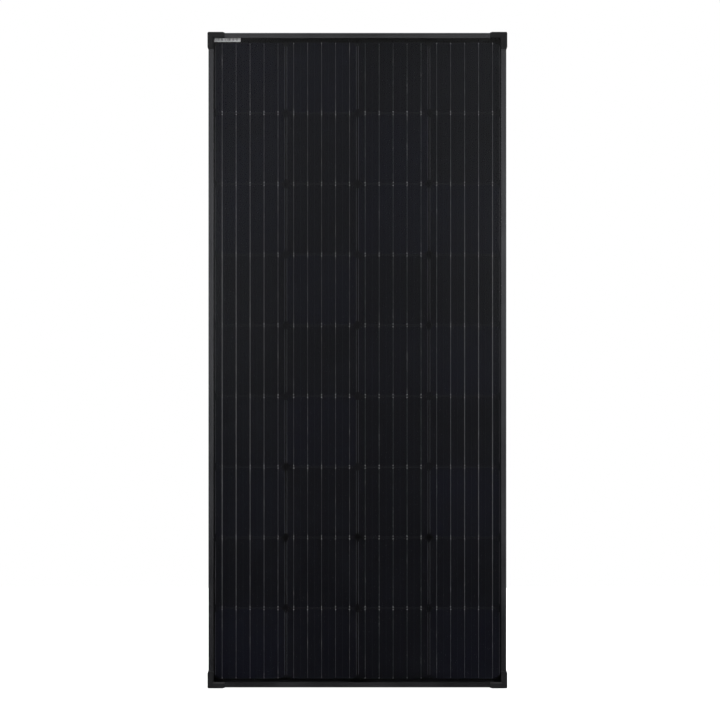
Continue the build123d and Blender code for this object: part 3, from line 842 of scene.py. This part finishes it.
def finish_piece(mesh: bmesh.types.BMesh, name: str, material: bpy.types.Material, body: str,
                 stands_for: Sequence[str] = (), bevel: float = 0.0, segments: int = 2) -> bpy.types.Object:
    """Turn a mesh in the making into a piece that rides on a body.

    Args:
        mesh: the mesh in the making, which is freed.
        name: the piece's name.
        material: its finish.
        body: the body it rides on.
        stands_for: CAD nodes that it replaces.
        bevel: how wide its sharp edges are rounded, in metres.
        segments: how many steps each rounded edge has.
    Returns:
        The piece.
    """
    bmesh.ops.remove_doubles(mesh, verts=mesh.verts, dist=SAME)
    bmesh.ops.recalc_face_normals(mesh, faces=mesh.faces)
    data = bpy.data.meshes.new(name)
    mesh.to_mesh(data)
    mesh.free()
    data.materials.append(material)
    piece = place_object(name, data)
    if bevel:
        rounding = piece.modifiers.new("rounded_edges", "BEVEL")
        rounding.width = bevel
        rounding.segments = segments
        rounding.limit_method = "ANGLE"
        rounding.harden_normals = True
    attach(piece, body)
    if stands_for:
        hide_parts(*stands_for)
    log.info("%s: %d faces, on %s", name, len(data.polygons), body)
    return piece


def dress(material: bpy.types.Material, nodes: Iterable[str]) -> None:
    """Give CAD nodes a finish.

    Args:
        material: the finish.
        nodes: the nodes' names.
    """
    for node in nodes:
        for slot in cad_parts[node].material_slots:
            slot.material = material
        log.info("%s: dressed in %s", node, material.name)


def add_block(mesh: bmesh.types.BMesh, low: Vector, high: Vector) -> list[bmesh.types.BMVert]:
    """Add a block between two corners.

    Args:
        mesh: the mesh it joins.
        low: its lowest corner.
        high: its highest corner.
    Returns:
        Its vertices.
    """
    size, centre = high - low, (low + high) / 2
    place = Matrix.Translation(centre) @ Matrix.Diagonal((*size, 1.0))
    return bmesh.ops.create_cube(mesh, size=1.0, matrix=place)["verts"]


def add_loops(mesh: bmesh.types.BMesh, loops: Sequence[Sequence[Vector]], closed: bool) -> None:
    """Add a skin through loops of points, one after the other.

    Args:
        mesh: the mesh it joins.
        loops: closed loops with as many points each.
        closed: whether the last loop joins the first; if not, both ends are capped.
    """
    rings = []
    for points in loops:
        verts = [mesh.verts.new(point) for point in points]
        rings.append([mesh.edges.new((a, b)) for a, b in zip(verts, verts[1:] + verts[:1])])
    pairs = list(zip(rings, rings[1:] + rings[:1])) if closed else list(zip(rings, rings[1:]))
    for first, second in pairs:
        bmesh.ops.bridge_loops(mesh, edges=first + second)
    if not closed:
        for ring in (rings[0], rings[-1]):
            bmesh.ops.holes_fill(mesh, edges=ring, sides=0)


def rounded_loop(low: Vector, high: Vector, inset: float, corner: float, depth: float,
                 steps: int = 6) -> list[Vector]:
    """Give a closed loop round an upright rectangle with rounded corners.

    Args:
        low: the rectangle's lowest corner.
        high: the rectangle's highest corner.
        inset: how far the loop is drawn in.
        corner: the rectangle's own corner radius, before it is drawn in.
        depth: the loop's Y.
        steps: how many steps each corner has.
    Returns:
        The loop's points.
    """
    smallest_radius = 0.1 * MM
    radius = max(corner - inset, smallest_radius)
    centre = (low + high) / 2
    reach_x = (high.x - low.x) / 2 - inset - radius
    reach_z = (high.z - low.z) / 2 - inset - radius
    points = []
    for quarter, (side_x, side_z) in enumerate(((1, 1), (-1, 1), (-1, -1), (1, -1))):
        for step in range(steps + 1):
            turn = math.pi / 2 * (quarter + step / steps)
            points.append(Vector((centre.x + side_x * reach_x + radius * math.cos(turn), depth,
                                  centre.z + side_z * reach_z + radius * math.sin(turn))))
    return points


def add_bead(mesh: bmesh.types.BMesh, low: Vector, high: Vector, corner: float, width: float,
             height: float) -> None:
    """Add a bead of sealant round the outside of an upright rectangle, rounded over.

    Args:
        mesh: the mesh it joins.
        low: the rectangle's lowest corner; its Y is the level the bead lies on.
        high: the rectangle's highest corner.
        corner: the rectangle's corner radius.
        width: how far the bead reaches outwards.
        height: how far it climbs rearwards.
    """
    steps = 5
    turns = [math.pi / 2 * step / steps for step in range(steps + 1)]
    rounded = [rounded_loop(low, high, -width * math.cos(turn), corner, low.y + height * math.sin(turn))
               for turn in turns]
    add_loops(mesh, [rounded_loop(low, high, 0.0, corner, low.y), *rounded], closed=True)


# ---------------------------------------------------------------- frame
@dataclass
class Frame:
    """The mitred rails, their corner keys and the caps pushed over the corners."""

    cap_wall: float = 2.0 * MM
    cap_plate: float = 1.6 * MM
    cap_face: float = 14.0 * MM
    cap_taper: float = 5.0 * MM
    cap_taper_depth: float = 1.4 * MM
    cap_bevel: float = 3.2 * MM
    cap_bevel_depth: float = 1.0 * MM
    cap_corner: float = 3.0 * MM
    cap_edge: float = 0.4 * MM
    shelf: float = 11.5 * MM
    bead_width: float = 3.0 * MM
    bead_height: float = 1.6 * MM
    bead_corner: float = 0.5 * MM

    def build(self) -> None:
        """Build the caps and the sealant bead, and dress the rails and keys."""
        half_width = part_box("frame_rail_right")[1].x
        half_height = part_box("frame_rail_top")[1].z
        for run, rails in ((Run.UPRIGHT, ("left", "right")), (Run.ACROSS, ("top", "bottom"))):
            finish = Anodised(f"black_anodised_{run.name.lower()}", (0.046, 0.046, 0.0485), 0.18, 0.9,
                              run=run, half_width=half_width, half_height=half_height)
            dress(finish.make(), [f"frame_rail_{rail}" for rail in rails])
        keys = BareMetal("mill_aluminium", (0.62, 0.62, 0.63), 0.38, 1.0)
        dress(keys.make(), [f"corner_key_{corner}" for corner in CORNERS])
        plastic = Moulded("cap_black_nylon", (0.0043, 0.0043, 0.0047), 0.36, specular=0.22, scuff=0.025)
        nylon = plastic.make()
        for corner, sides in CORNERS.items():
            self.build_cap(corner, sides, nylon)
        self.build_bead(half_width, half_height)

    def build_cap(self, corner: str, sides: tuple[int, int], material: bpy.types.Material) -> None:
        """Build one corner cap: a C-shaped section led round the corner.

        Args:
            corner: the corner's name.
            sides: which way the corner points, along X and Z.
            material: its finish.
        """
        node = f"corner_cap_{corner}"
        low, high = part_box(node)
        side_x, side_z = sides
        outer = Vector((high.x if side_x > 0 else low.x, 0, high.z if side_z > 0 else low.z))
        arm = high.x - low.x
        front, rear, face, wall = low.y, high.y, self.cap_face, self.cap_wall

        def section(skin: float) -> list[tuple[float, float]]:
            """Give the cap's section.

            Args:
                skin: how far its outer wall is set in.
            Returns:
                Its points, as (inset, depth).
            """
            return [(skin, front), (face - self.cap_bevel, front), (face, front + self.cap_bevel_depth),
                    (face, front + self.cap_plate), (wall, front + self.cap_plate),
                    (wall, rear - self.cap_plate), (face, rear - self.cap_plate), (face, rear), (skin, rear)]

        def point(across: float, down: float, depth: float) -> Vector:
            """Give a point of the cap.

            Args:
                across: how far it is set in along X.
                down: how far it is set in along Z.
                depth: its Y.
            Returns:
                The point.
            """
            return Vector((outer.x - side_x * across, depth, outer.z - side_z * down))

        full, thin = section(0.0), section(self.cap_taper_depth)
        start = arm - self.cap_taper
        mesh = bmesh.new()
        add_loops(mesh, [
            [point(arm, inset, depth) for inset, depth in thin],
            [point(start, inset, depth) for inset, depth in full],
            [point(inset, inset, depth) for inset, depth in full],
            [point(inset, start, depth) for inset, depth in full],
            [point(inset, arm, depth) for inset, depth in thin],
        ], closed=False)
        outer_corner = [edge for edge in mesh.edges
                        if all((v.co - point(0, 0, v.co.y)).length < SAME for v in edge.verts)]
        bmesh.ops.bevel(mesh, geom=outer_corner, offset=self.cap_corner, offset_type="OFFSET", segments=5,
                        profile=0.5, affect="EDGES", material=-1)
        finish_piece(mesh, f"moulded_{node}", material, f"cap_{corner}", (node,),
                     self.cap_edge, 3)

    def build_bead(self, half_width: float, half_height: float) -> None:
        """Build the sealant bead between the backsheet and the rails.

        Args:
            half_width: from the middle of the panel to a side's outer face.
            half_height: from the middle of the panel to an end's outer face.
        """
        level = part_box("backsheet")[1].y
        corner = Vector((half_width - self.shelf, 0, half_height - self.shelf))
        low, high = Vector((0, level, 0)) - corner, Vector((0, level, 0)) + corner
        mesh = bmesh.new()
        add_bead(mesh, low, high, self.bead_corner, -self.bead_width, self.bead_height)
        silicone = Moulded("black_silicone", (0.016, 0.016, 0.017), 0.34, grain_scale=300.0, scuff=0.05)
        material = silicone.make()
        finish_piece(mesh, "rear_sealant_bead", material, "panel")
        dress(material, ["edge_seal"])


# ---------------------------------------------------------------- laminate
@dataclass
class Laminate:
    """The glass, the films, the cells with their ribbons, the backsheet and the labels."""

    columns: int = 4
    rows: int = 9
    busbars: int = 5
    row_gap: float = 2.0 * MM
    film_gap: float = 0.12 * MM
    glass_edge: float = 0.5 * MM
    bend_width: float = 1.7 * MM
    bend_length: float = 2.4 * MM
    bend_height: float = 0.09 * MM
    bend_offset: float = 3.1 * MM

    def grid(self) -> Grid:
        """Work out the cells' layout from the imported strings.

        Returns:
            The layout.
        """
        low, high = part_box("cell_string_1")
        next_low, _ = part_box("cell_string_2")
        row_pitch = (high.z - low.z + self.row_gap) / self.rows
        return Grid(column_pitch=next_low.x - low.x, row_pitch=row_pitch, cell_width=high.x - low.x,
                    cell_height=row_pitch - self.row_gap, drop=-(low.z + high.z) / 2, rows=self.rows,
                    busbars=self.busbars)

    def build(self) -> None:
        """Build the sheets and the ribbons' bends, and dress the rest."""
        grid = self.grid()
        strings = range(1, self.columns + 1)
        cell = SiliconCell("silicon_cell", (0.0029, 0.0032, 0.0060), 0.42, specular=0.12, grid=grid)
        dress(cell.make(), [f"cell_string_{string}" for string in strings])
        ribbon = TinnedRibbon("tinned_ribbon", (0.076, 0.076, 0.08), 0.32, 0.85, grid=grid)
        dress(ribbon.make(), [f"string_ribbons_{string}" for string in strings])
        sheet = Backsheet("black_backsheet", (0.0032, 0.0032, 0.0036), 0.4, specular=0.2, grid=grid)
        dress(sheet.make(), ["backsheet"])
        self.dress_buses()
        self.build_sheets()
        self.build_bends(grid)
        self.dress_labels()

    def dress_buses(self) -> None:
        """Dress the bus ribbons and their strip in a black coat and the leads in bare foil."""
        coat = Moulded("black_bus_coat", (0.004, 0.004, 0.0045), 0.5, specular=0.2, grain_scale=900.0,
                       scuff=0.01)
        dress(coat.make(), ["bus_positive", "bus_middle", "bus_negative", "bus_lower_left",
                            "bus_lower_right", "insulation_strip"])
        foil = BareMetal("tinned_foil", (0.62, 0.62, 0.62), 0.35, 1.0, scratch=(2400.0, 60.0, 60.0),
                         black_before=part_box("backsheet")[1].y)
        dress(foil.make(), ["lead_positive", "lead_middle", "lead_negative", "diode_wires"])

    def build_sheets(self) -> None:
        """Build the glass and the two films, each a hair clear of its neighbours."""
        glass = ClearSheet("solar_glass", (0.0, 0.0, 0.0), 0.03, alpha=0.16, ior=1.75).make()
        film = ClearSheet("cured_encapsulant", (0.02, 0.02, 0.022), 0.5, specular=0.1, alpha=0.02).make()
        sheets = (("front_glass", "solar_glass", glass, self.glass_edge, 0.0),
                  ("front_encapsulant", "encapsulant", film, 0.0, self.film_gap),
                  ("rear_encapsulant", "encapsulant", film, 0.0, self.film_gap))
        for node, slot, material, edge, gap in sheets:
            low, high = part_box(node)
            clear = Vector((gap, gap, gap))
            mesh = bmesh.new()
            add_block(mesh, low + clear, high - clear)
            finish_piece(mesh, f"clear_{node}", material, "panel", (node,), edge, 2)

    def build_bends(self, grid: Grid) -> None:
        """Build the crimped bends where each ribbon dips between two cells, near-white as a painted glint.

        Args:
            grid: the cells' layout.
        """
        # Near-white, almost plain diffuse metal: a painted glint on each bend.
        solder = BareMetal("ribbon_bend_painted_glint", (0.9, 0.9, 0.9), 0.5, 0.1, dull=(0.7, 0.7, 0.7)).make()
        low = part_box("string_ribbons_1")[0]
        busbar_pitch = grid.cell_width / grid.busbars
        size = Matrix.Diagonal((self.bend_width / 2, self.bend_height, self.bend_length / 2, 1.0))
        for string in range(self.columns):
            column = (string - (self.columns - 1) / 2) * grid.column_pitch
            mesh = bmesh.new()
            for busbar in range(grid.busbars):
                x = column + (busbar - (grid.busbars - 1) / 2) * busbar_pitch
                for gap in range(1, self.rows):
                    z = (gap - self.rows / 2) * grid.row_pitch - grid.drop
                    for side in (1, -1):
                        place = Matrix.Translation((x, low.y, z + side * self.bend_offset))
                        bmesh.ops.create_icosphere(mesh, subdivisions=1, radius=1.0, matrix=place @ size)
            finish_piece(mesh, f"ribbon_bends_{string + 1}", solder, "panel")

    def dress_labels(self) -> None:
        """Dress the serial label and the rating label."""
        low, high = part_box("serial_label")
        serial = BarLabel("serial_label_print", (0.97, 0.97, 0.97), 0.6, low=low, high=high)
        dress(serial.make(), ["serial_label"])
        low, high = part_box("rating_label")
        rating = TableLabel("rating_label_print", (0.70, 0.70, 0.69), 0.45, low=low, high=high)
        dress(rating.make(), ["rating_label"])


# ---------------------------------------------------------------- junction box
@dataclass
class JunctionBox:
    """The box on the back with its lid, terminals, diodes and cable glands."""

    corner: float = 6.0 * MM
    wall: float = 2.5 * MM
    plate: float = 2.0 * MM
    gasket: float = 1.5 * MM
    lid_ribs: int = 3
    lid_rib_pitch: float = 8.0 * MM
    rib_clearance: float = 0.4 * MM
    rib_thickness: float = 1.5 * MM
    panel_inset: float = 7.0 * MM
    panel_depth: float = 0.6 * MM
    tab_half_width: float = 12.0 * MM
    tab_reach: float = 4.0 * MM
    knuckle_radius: float = 2.5 * MM
    knuckle_length: float = 8.0 * MM
    hinge_spread: float = 32.0 * MM
    hinge_offset: float = 3.5 * MM
    pin_bore: float = 1.08 * MM
    rib_half_width: float = 0.8 * MM
    rib_sink: float = 0.1 * MM
    lid_edge: float = 0.35 * MM
    tube_steps: int = 24
    nut_steps: int = 48
    nut_edge: float = 0.25 * MM
    nut_hole: float = 3.5 * MM
    nut_bore: float = 7.1 * MM
    nut_end_wall: float = 2.0 * MM
    nut_dome: float = 1.6 * MM
    nut_shoulder: tuple[float, float] = (0.5 * MM, 0.9 * MM)
    nut_grip_start: float = 2.2 * MM
    nut_grip_end: float = 1.4 * MM
    nut_rim: float = 0.6 * MM
    bead: float = 2.2 * MM

    def build(self) -> None:
        """Build the lid, the bead round the foot and the nuts, and dress the rest."""
        plastic = Moulded("box_black_nylon", (0.022, 0.022, 0.023), 0.46, grain_scale=1500.0).make()
        rubber = Moulded("seal_rubber", (0.030, 0.030, 0.031), 0.6, grain_scale=700.0, scuff=0.05).make()
        ring = Moulded("gland_ring_nylon", (0.05, 0.05, 0.052), 0.4, scuff=0.03)
        brass = BareMetal("tinned_terminal", (0.64, 0.62, 0.57), 0.32, 1.0, dull=(0.4, 0.38, 0.33))
        steel = BareMetal("stainless_steel", (0.58, 0.58, 0.59), 0.3, 1.0)
        solder = BareMetal("solder_fillet", (0.55, 0.55, 0.56), 0.25, 1.0, dull=(0.35, 0.35, 0.36))
        epoxy = Moulded("diode_epoxy", (0.012, 0.012, 0.013), 0.3, grain_scale=3000.0, scuff=0.02)
        dress(plastic, ["junction_box_base"])
        dress(rubber, ["lid_gasket", "adhesive_pad", "gland_seal_left", "gland_seal_right"])
        dress(ring.make(), ["gland_ring_left", "gland_ring_right"])
        dress(brass.make(), ["terminal_positive", "terminal_middle", "terminal_negative"])
        dress(steel.make(), ["terminal_screws", "lid_hinge_pins"])
        dress(solder.make(), ["solder_pads"])
        dress(epoxy.make(), ["bypass_diode_left", "bypass_diode_right"])
        self.build_lid(plastic)
        self.build_bead(rubber)
        for side in SIDES:
            self.build_nut(side, plastic)

    def build_lid(self, material: bpy.types.Material) -> None:
        """Build the lid: a plate with a sunk panel, an inner rib, a finger tab and two knuckles.

        Args:
            material: its finish.
        """
        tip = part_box("junction_box_lid")[0].y
        low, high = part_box("lid_gasket")
        lip = (self.wall - self.gasket) / 2
        front, rear = high.y, high.y + self.plate
        top, bottom = high.z + lip, low.z - lip
        rib, sunk = self.wall + self.rib_clearance, rear - self.panel_depth
        inner = rib + self.rib_thickness
        profile = ((inner, front), (inner, tip), (rib, tip), (rib, front), (0.0, front), (0.0, rear),
                   (self.panel_inset, rear), (self.panel_inset + self.panel_depth, sunk))
        mesh = bmesh.new()
        outline = Vector((low.x - lip, 0, bottom)), Vector((high.x + lip, 0, top))
        add_loops(mesh, [rounded_loop(*outline, inset, self.corner, depth) for inset, depth in profile],
                  closed=False)
        for step in range(-self.lid_ribs, self.lid_ribs + 1):
            middle = (low.z + high.z) / 2 + step * self.lid_rib_pitch
            half_length = (high.x - low.x) / 2 - 2 * self.panel_inset
            add_block(mesh, Vector((-half_length, sunk - self.panel_depth, middle - self.rib_half_width)),
                      Vector((half_length, rear - self.rib_sink, middle + self.rib_half_width)))
        add_block(mesh, Vector((-self.tab_half_width, front, bottom - self.tab_reach)),
                  Vector((self.tab_half_width, rear, bottom + self.tab_reach / 2)))
        axis_y, axis_z = (front + rear) / 2, top + self.hinge_offset
        for side in SIDES.values():
            x = side * self.hinge_spread
            half_length = self.knuckle_length / 2
            add_block(mesh, Vector((x - half_length, front, top - MM)),
                      Vector((x + half_length, rear, axis_z - self.pin_bore)))
            self.add_tube(mesh, Vector((x, axis_y, axis_z)), half_length)
        finish_piece(mesh, "moulded_junction_box_lid", material, "box_lid",
                     ("junction_box_lid",), self.lid_edge, 2)

    def add_tube(self, mesh: bmesh.types.BMesh, centre: Vector, half_length: float) -> None:
        """Add a knuckle: a short tube along X.

        Args:
            mesh: the mesh it joins.
            centre: the middle of its bore.
            half_length: half its length.
        """
        turns = [math.tau * step / self.tube_steps for step in range(self.tube_steps)]
        ends = ((self.knuckle_radius, half_length), (self.knuckle_radius, -half_length),
                (self.pin_bore, -half_length), (self.pin_bore, half_length))
        add_loops(mesh, [[centre + Vector((reach, radius * math.cos(turn), radius * math.sin(turn)))
                          for turn in turns] for radius, reach in ends], closed=True)

    def build_bead(self, material: bpy.types.Material) -> None:
        """Build the adhesive that squeezes out round the box's foot.

        Args:
            material: its finish.
        """
        low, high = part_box("adhesive_pad")
        mesh = bmesh.new()
        add_bead(mesh, low, high, self.corner, self.bead, self.bead)
        finish_piece(mesh, "adhesive_bead", material, "panel")

    def build_nut(self, side: str, material: bpy.types.Material) -> None:
        """Build one gland nut: a domed cap nut with six flats round it.

        Args:
            side: left or right.
            material: its finish.
        """
        node = f"gland_nut_{side}"
        low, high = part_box(node)
        centre = (low + high) / 2
        flat = (high.y - low.y) / 2
        inner_wall = low.z + self.nut_end_wall
        shoulder_inset, shoulder_rise = self.nut_shoulder

        def ring(radius: float, z: float, six_sided: float = 0.0) -> list[Vector]:
            """Give a loop round the nut.

            Args:
                radius: the radius, or half the width across flats.
                z: its height.
                six_sided: its shape, from a circle (0) to a hexagon (1).
            Returns:
                Its points.
            """
            points = []
            for step in range(self.nut_steps):
                turn = math.tau * step / self.nut_steps
                lean = (turn + math.pi / 6) % (math.pi / 3) - math.pi / 6
                stretch = 1 / math.cos(math.pi / 6 - abs(lean)) if six_sided else 1.0
                reach = radius * (1 + six_sided * (stretch - 1))
                points.append(Vector((centre.x + reach * math.cos(turn),
                                      centre.y + reach * math.sin(turn), z)))
            return points

        mesh = bmesh.new()
        add_loops(mesh, [
            ring(self.nut_hole, low.z), ring(flat - self.nut_dome, low.z),
            ring(flat - shoulder_inset, low.z + shoulder_rise, 0.3),
            ring(flat, low.z + self.nut_grip_start, 1.0), ring(flat, high.z - self.nut_grip_end, 1.0),
            ring(flat - self.nut_rim, high.z, 0.2), ring(self.nut_bore, high.z),
            ring(self.nut_bore, inner_wall), ring(self.nut_hole, inner_wall),
        ], closed=True)
        finish_piece(mesh, f"moulded_{node}", material, node, (node,), self.nut_edge, 2)


# ---------------------------------------------------------------- studio
class Fade(NamedTuple):
    """A glow that fades between two heights or widths of the sky."""

    low: float
    high: float
    at_low: float
    at_high: float


@dataclass
class Studio:
    """Pale floor, soft light and the camera in front of the glass.

    The sky's fades are read along the unit direction: Z is its height and X is its width.
    """

    distance: float = 8.0
    view_width: float = 1.6146
    aim_x: float = 0.0059
    aim_z: float = 0.0003
    sensor: float = 36.0
    floor_size: float = 7.0
    floor_glow: float = 1.25
    floor_share: float = 0.68
    sky: Colour = (0.97, 0.985, 1.0)
    horizon: Fade = Fade(-0.09, 0.07, 0.01, 0.37)
    overhead: Fade = Fade(0.15, 1.0, 0.0, 2.0)
    ground: Fade = Fade(-0.6, -0.15, 0.4, 0.0)
    sideways: Fade = Fade(0.0, 0.05, 0.75, 1.25)
    wing_x: float = 0.12
    wing_z: float = 0.025
    wing_width: Fade = Fade(0.05, 0.085, 1.0, 0.0)
    wing_height: Fade = Fade(0.01, 0.05, 2.9, 0.0)
    lamps: tuple[tuple[str, tuple[float, float, float], float, float], ...] = (
        ("key_lamp", (-1.6, -2.6, 2.6), 2.2, 45.0), ("rear_lamp", (1.8, 2.6, 2.2), 2.0, 60.0))

    def build(self) -> None:
        """Build the camera, the world, the lamps and the floor."""
        self.build_camera()
        self.build_world()
        self.build_floor()
        self.build_lamps()
        view = bpy.context.scene.view_settings
        view.view_transform = "Standard"
        view.look = "None"
        view.exposure = 0.0
        view.gamma = 1.0

    def build_camera(self) -> None:
        """Place the camera square to the glass."""
        data = bpy.data.cameras.new("camera")
        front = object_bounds()[0].y
        data.sensor_width = self.sensor
        data.lens = self.sensor * self.distance / self.view_width
        data.clip_end = 100.0
        camera = place_object("camera", data)
        camera.location = (self.aim_x, front - self.distance, self.aim_z)
        camera.rotation_euler = (math.pi / 2, 0, 0)
        bpy.context.scene.camera = camera

    def build_world(self) -> None:
        """Light the scene from overhead, from below and from two soft wings beside the camera."""
        world = bpy.data.worlds.new("studio")
        bpy.context.scene.world = world
        world.use_nodes = True
        sheet = NodeSheet(world.node_tree)
        sheet.tree.nodes.clear()
        x, _, z = sheet.split(sheet.add("ShaderNodeTexCoord").outputs["Generated"])
        wide = sheet.maths("ABSOLUTE", x)
        level = sheet.maths("MULTIPLY", sheet.spread(sheet.apart(wide, self.wing_x), *self.wing_width),
                            sheet.spread(sheet.apart(z, self.wing_z), *self.wing_height))
        for fade in (self.ground, self.horizon, self.overhead):
            level = sheet.maths("ADD", level, sheet.spread(z, *fade))
        level = sheet.maths("MULTIPLY", level, sheet.spread(wide, *self.sideways))
        light, backdrop = sheet.add("ShaderNodeBackground"), sheet.add("ShaderNodeBackground")
        sheet.feed(light.inputs["Color"], self.sky)
        sheet.feed(light.inputs["Strength"], level)
        sheet.feed(backdrop.inputs["Color"], (1.0, 1.0, 1.0))
        seen = sheet.add("ShaderNodeLightPath").outputs["Is Camera Ray"]
        output = sheet.add("ShaderNodeOutputWorld")
        sheet.feed(output.inputs["Surface"], sheet.choose(seen, light.outputs[0], backdrop.outputs[0]))

    def build_floor(self) -> None:
        """Lay a pale floor under the panel that keeps only its soft contact shadow."""
        mesh = bmesh.new()
        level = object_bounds()[0].z
        bmesh.ops.create_grid(mesh, x_segments=1, y_segments=1, size=self.floor_size / 2,
                              matrix=Matrix.Translation((0, 0, level)))
        data = bpy.data.meshes.new("floor")
        mesh.to_mesh(data)
        mesh.free()
        floor = place_object("floor", data)
        floor.visible_glossy = floor.visible_transmission = False
        material = bpy.data.materials.new("pale_floor")
        material.use_nodes = True
        sheet = NodeSheet(material.node_tree)
        shader = sheet.tree.nodes["Principled BSDF"]
        shader.inputs["Base Color"].default_value = (0.82, 0.82, 0.82, 1.0)
        shader.inputs["Roughness"].default_value = 0.9
        glow = sheet.add("ShaderNodeEmission")
        glow.inputs["Strength"].default_value = self.floor_glow
        camera_ray = sheet.add("ShaderNodeLightPath").outputs["Is Camera Ray"]
        seen = sheet.maths("MULTIPLY", camera_ray, self.floor_share)
        sheet.feed(sheet.tree.nodes["Material Output"].inputs["Surface"],
                   sheet.choose(seen, shader.outputs[0], glow.outputs[0]))
        data.materials.append(material)
        floor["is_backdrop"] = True

    def build_lamps(self) -> None:
        """Hang a large soft lamp before the panel and a smaller one behind it."""
        for name, place, size, power in self.lamps:
            data = bpy.data.lights.new(name, "AREA")
            data.size = size
            data.energy = power
            lamp = place_object(name, data)
            lamp.location = place
            lamp.rotation_euler = (-Vector(place)).to_track_quat("-Z", "Y").to_euler()


def main() -> None:
    """Build every sub-assembly and the studio."""
    logging.basicConfig(level=logging.INFO, format="%(name)s: %(message)s")
    for assembly in (Frame(), Laminate(), JunctionBox(), Studio()):
        assembly.build()


if __name__ == "__main__":
    main()
